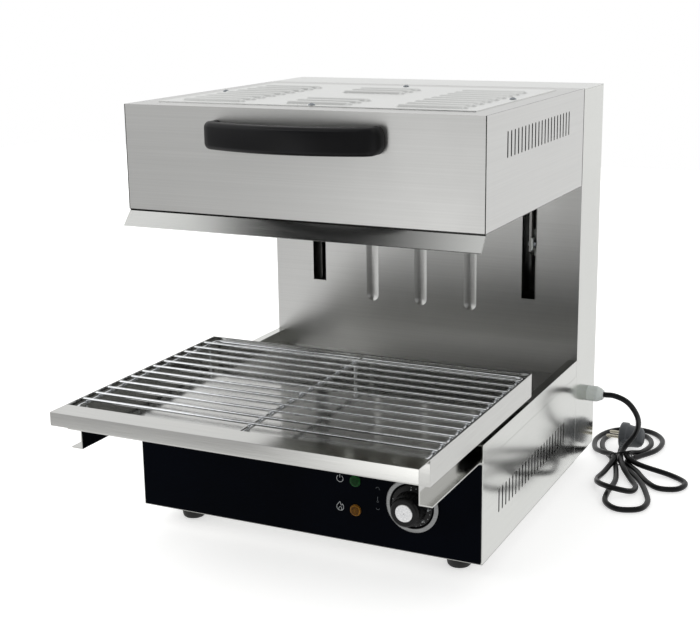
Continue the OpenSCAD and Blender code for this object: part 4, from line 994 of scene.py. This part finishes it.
LENS_X, LENS_STAND = 70, 3.0
for colour, material, z in (("green", GREEN_LENS, 102), ("amber", AMBER_LENS, 66)):
    lens = grow(
        "faceted_lens_" + colour, faceted_lens(material), Radius=5.6 * MM, Pitch=1.15 * MM,
        Height=0.75 * MM, Crown=0.8 * MM, Place=at(LENS_X, PANEL_FACE - LENS_STAND, z),
    )
    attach(lens, "frame")

# %% [markdown]
# ## The tie round the lead
# The hank is held by a short plastic-coated wire, wound once round all the strands, with its two
# ends twisted together and left standing. It follows the band that the CAD model has there, and
# is made as the lead is: a curve through points, with a round bevel.

# %% Wire tie
TIE_AT, TIE_TURN = by_mouth(23, 16, 0), math.radians(23.5)
TIE_LONG, TIE_HIGH, TIE_ROUND, TIE_MIDDLE = 29.8, 17.4, 4.4, 9.45
TWIST_HEIGHT, TWIST_RADIUS = 19.3, 0.7
TWIST_PITCH, TWIST_RISE = 1.2, 0.15  # along and up, for each quarter turn


def tie_point(u, v, z):
    """A point by the tie: along the band's long side, across it, and up from the table."""
    c, s = math.cos(TIE_TURN), math.sin(TIE_TURN)
    return TIE_AT + Vector((u * c - v * s, u * s + v * c, z)) * MM


def tie_loop(v):
    """One turn of the tie: a rounded rectangle round the strands."""
    section = rounded_section(TIE_LONG, TIE_HIGH, TIE_ROUND, 5)
    return [tie_point(u, v, TIE_MIDDLE + z) for u, z in section]


def tie_end(side):
    """An end of the tie: from the top of the loop, twisting round the other end, then free."""
    points = [tie_point(-4 * side, 0.7 * side, 18.2), tie_point(-1.5 * side, 0.8 * side, 18.9)]
    for i in range(9):
        a = math.radians(90 * i) + (0 if side > 0 else math.pi)
        height = TWIST_HEIGHT + TWIST_RADIUS * math.cos(a) + TWIST_RISE * i
        points.append(tie_point(TWIST_PITCH * i, -TWIST_RADIUS * math.sin(a), height))
    points += [tie_point(13, 2.5 * side, 20.5), tie_point(16, 6 * side, 19)]
    return smooth_line(points + [tie_point(18, 10 * side, 16 + 2 * side)], 4)


tie_parts = [
    tube("tie_turn_%d" % i, tie_loop(v), 1.2, closed=True) for i, v in enumerate((-0.75, 0.75))
]
tie_parts += [tube("tie_end_%d" % i, tie_end(side), 1.1) for i, side in enumerate((1, -1))]
for piece in tie_parts:
    piece.data.materials.append(LEAD_RUBBER)
    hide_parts("lead_tie")
    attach(piece, "frame")
print("tie:", len(tie_parts), "pieces of wire")

# %% [markdown]
# ## Floor and room
# The machine stands on a pale floor that runs off into a white background, and the floor keeps
# the soft shadow. Polished steel shows what stands round it, so an even white room would leave
# every panel blank. Walls and screens could be modelled, but a world whose brightness changes
# with the direction does the same and costs nothing. This room is bright behind the machine
# and dim to its right. To the front left it has bright and dark steps below the horizon, and a
# narrow bright strip, a dark band and a ceiling above it. The camera itself, and whatever
# would be seen through something clear, gets plain white.

# %% Floor
TABLE_WIDE, TABLE_FRONT, TABLE_BACK = 6.0, -0.75, 3.2  # in metres
TABLE_GLOW, TABLE_IN_MIRRORS = 0.55, 0.9
WHITE = (1, 1, 1, 1)

half_table = TABLE_WIDE / 2
mesh = bpy.data.meshes.new("table_top")
corners = [(x, TABLE_FRONT, 0) for x in (-half_table, half_table)]
corners += [(x, TABLE_BACK, 0) for x in (half_table, -half_table)]
mesh.from_pydata(corners, [], [(0, 1, 2, 3)])
floor = in_scene("table_top", mesh)

floor_paint, tree, bsdf = new_material("white_studio_table", Roughness=0.9)
feed(tree, bsdf, Base_Color=tint(tree, spots(tree, 3, 2), 0, 1, "#E2E2E1", "#E8E8E7"))
ray = add(tree, "ShaderNodeLightPath", give=None).outputs
glow = add(tree, "ShaderNodeEmission", {"Color": WHITE, "Strength": TABLE_GLOW})
mirrored = add(tree, "ShaderNodeEmission", {"Color": WHITE, "Strength": TABLE_IN_MIRRORS})
lit = bsdf.outputs[0]
lifted = add(tree, "ShaderNodeAddShader", {0: lit, 1: glow})
seen = add(tree, "ShaderNodeMixShader", {0: ray["Is Camera Ray"], 1: lit, 2: lifted})
shown = add(tree, "ShaderNodeMixShader", {0: ray["Is Glossy Ray"], 1: seen, 2: mirrored})
feed(tree, tree.nodes["Material Output"], Surface=shown)
floor.data.materials.append(floor_paint)
print("floor:", TABLE_WIDE, "m wide")

# %% Room
BEHIND, RIGHT, CEILING, STRIP = 0.92, 0.4, 1.0, 3.0  # brightness of the parts of the room

world = bpy.data.worlds.new("studio")
world.use_nodes = True
scene.world = world
tree = world.node_tree
way = add(tree, "ShaderNodeTexCoord", give="Generated")
heading = add(tree, "ShaderNodeSeparateXYZ", {0: way}, None)
x, y, z = (heading.outputs[axis] for axis in "XYZ")

# where a part of the direction passes from one value to another, a level goes from one number
# to another; from left to right below the horizon, and then above it
STEPS = {
    "low_far": (x, -0.85, -0.62, 0.5, 1), "low_mid": (x, -0.47, -0.36, 0.52, 1.9),
    "low_near": (x, -0.32, -0.27, 1, 0.25), "lean": (z, 0.55, 0.75, 0, 1),
    "edge_low": (x, -0.50, -0.46, 1, 0), "edge_high": (x, -0.525, -0.495, 1, 0),
    "ceiling_x": (x, -0.41, -0.33, 0, 1), "ceiling_z": (z, 0.6, 0.85, 0.02, 0.9),
    "strip_from": (z, 0.55, 0.59, 0, 1), "strip_to": (z, 0.66, 0.70, 1, 0),
    "strip_left": (y, -0.50, -0.44, 1, 0), "horizon": (z, -0.08, 0.05, 0, 1),
    "right": (x, -0.12, 0.12, 0, 1), "behind_y": (y, 0.0, 0.25, 0, 1),
    "behind_z": (z, 0.55, 0.80, 1, 0.35),
}
PRODUCTS = {
    "low_left": ("low_far", "low_mid"), "low": ("low_left", "low_near"),
    "ceiling": ("ceiling_x", "ceiling_z"), "strip_height": ("strip_from", "strip_to"),
    "strip": ("strip_height", "strip_left"), "behind": ("behind_y", "behind_z"),
}
# by how much, from what, to what: a left wall whose edge leans, the ceiling and the strip,
# then both sides of the horizon, the right side and what is behind the machine
MIXES = {
    "edge": ("lean", "edge_low", "edge_high"), "roof": ("edge", "ceiling", CEILING),
    "high": ("strip", "roof", STRIP), "front": ("horizon", "low", "high"),
    "sides": ("right", "front", RIGHT), "all": ("behind", "sides", BEHIND),
}
level = {
    name: add(tree, "ShaderNodeMapRange", dict(enumerate(places)))
    for name, places in STEPS.items()
}
for name, (a, b) in PRODUCTS.items():
    level[name] = add(tree, "ShaderNodeMath", {0: level[a], 1: level[b]}, operation="MULTIPLY")
for name, (share, a, b) in MIXES.items():
    ends = {"Factor": level[share], "A": level[a], "B": level.get(b, b)}
    level[name] = add(tree, "ShaderNodeMix", ends, "Result", data_type="FLOAT")
room = add(tree, "ShaderNodeCombineColor", {channel: level["all"] for channel in range(3)})
ray = add(tree, "ShaderNodeLightPath", give=None).outputs
clear = add(
    tree, "ShaderNodeMath", {0: ray["Is Camera Ray"], 1: ray["Is Transmission Ray"]},
    operation="MAXIMUM",
)
feed(
    tree, tree.nodes["Background"],
    Color=add(
        tree, "ShaderNodeMix", {"Factor": clear, "A": room, "B": WHITE}, "Result", data_type="RGBA"
    ),
)
print("room:", len(tree.nodes), "nodes")

# %% [markdown]
# ## Lamps
# Three large soft lamps stand round the machine: the key to the front left, a weak fill to the
# right and one behind that lights the floor. Small lamps would be simpler to place, but they
# would throw hard shadows and burn spots into the steel. These are as wide as studio screens
# and are left out of the reflections, which the room already gives.

# %% Lamps
def soft_lamp(name, place, aim, width, height, watts):
    """A soft rectangular lamp that neither the camera nor a mirror sees."""
    data = bpy.data.lights.new(name, "AREA")
    data.shape, data.size, data.size_y, data.energy = "RECTANGLE", width, height, watts
    lamp = in_scene(name, data)
    lamp.location = place
    lamp.rotation_euler = (Vector(aim) - Vector(place)).to_track_quat("-Z", "Y").to_euler()
    lamp.visible_camera = False
    lamp.visible_glossy = False


soft_lamp("key", (-1.2, -1.6, 2.2), (0, 0, 0.25), width=2.8, height=2.2, watts=22)
soft_lamp("fill", (2.2, -1.2, 1.3), (0, 0, 0.25), width=1.4, height=1.4, watts=9)
soft_lamp("back", (-1.6, 3.4, 1.5), (0, 0, 0.5), width=4.0, height=1.8, watts=30)
scene.view_settings.view_transform = "Standard"

# %% [markdown]
# ## The lead in its place
# The lead was drawn at the start; now that its rubber and its tie exist, it gets its rubber,
# takes the place of the CAD lead, which is hidden, and goes with the frame.

# %% The lead in its place
lead.data.materials.append(LEAD_RUBBER)
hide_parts("mains_lead")
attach(lead, "frame")

# %% [markdown]
# ## The last line
# At the end the view layer is brought up to date.

# %% Finish
bpy.context.view_layer.update()
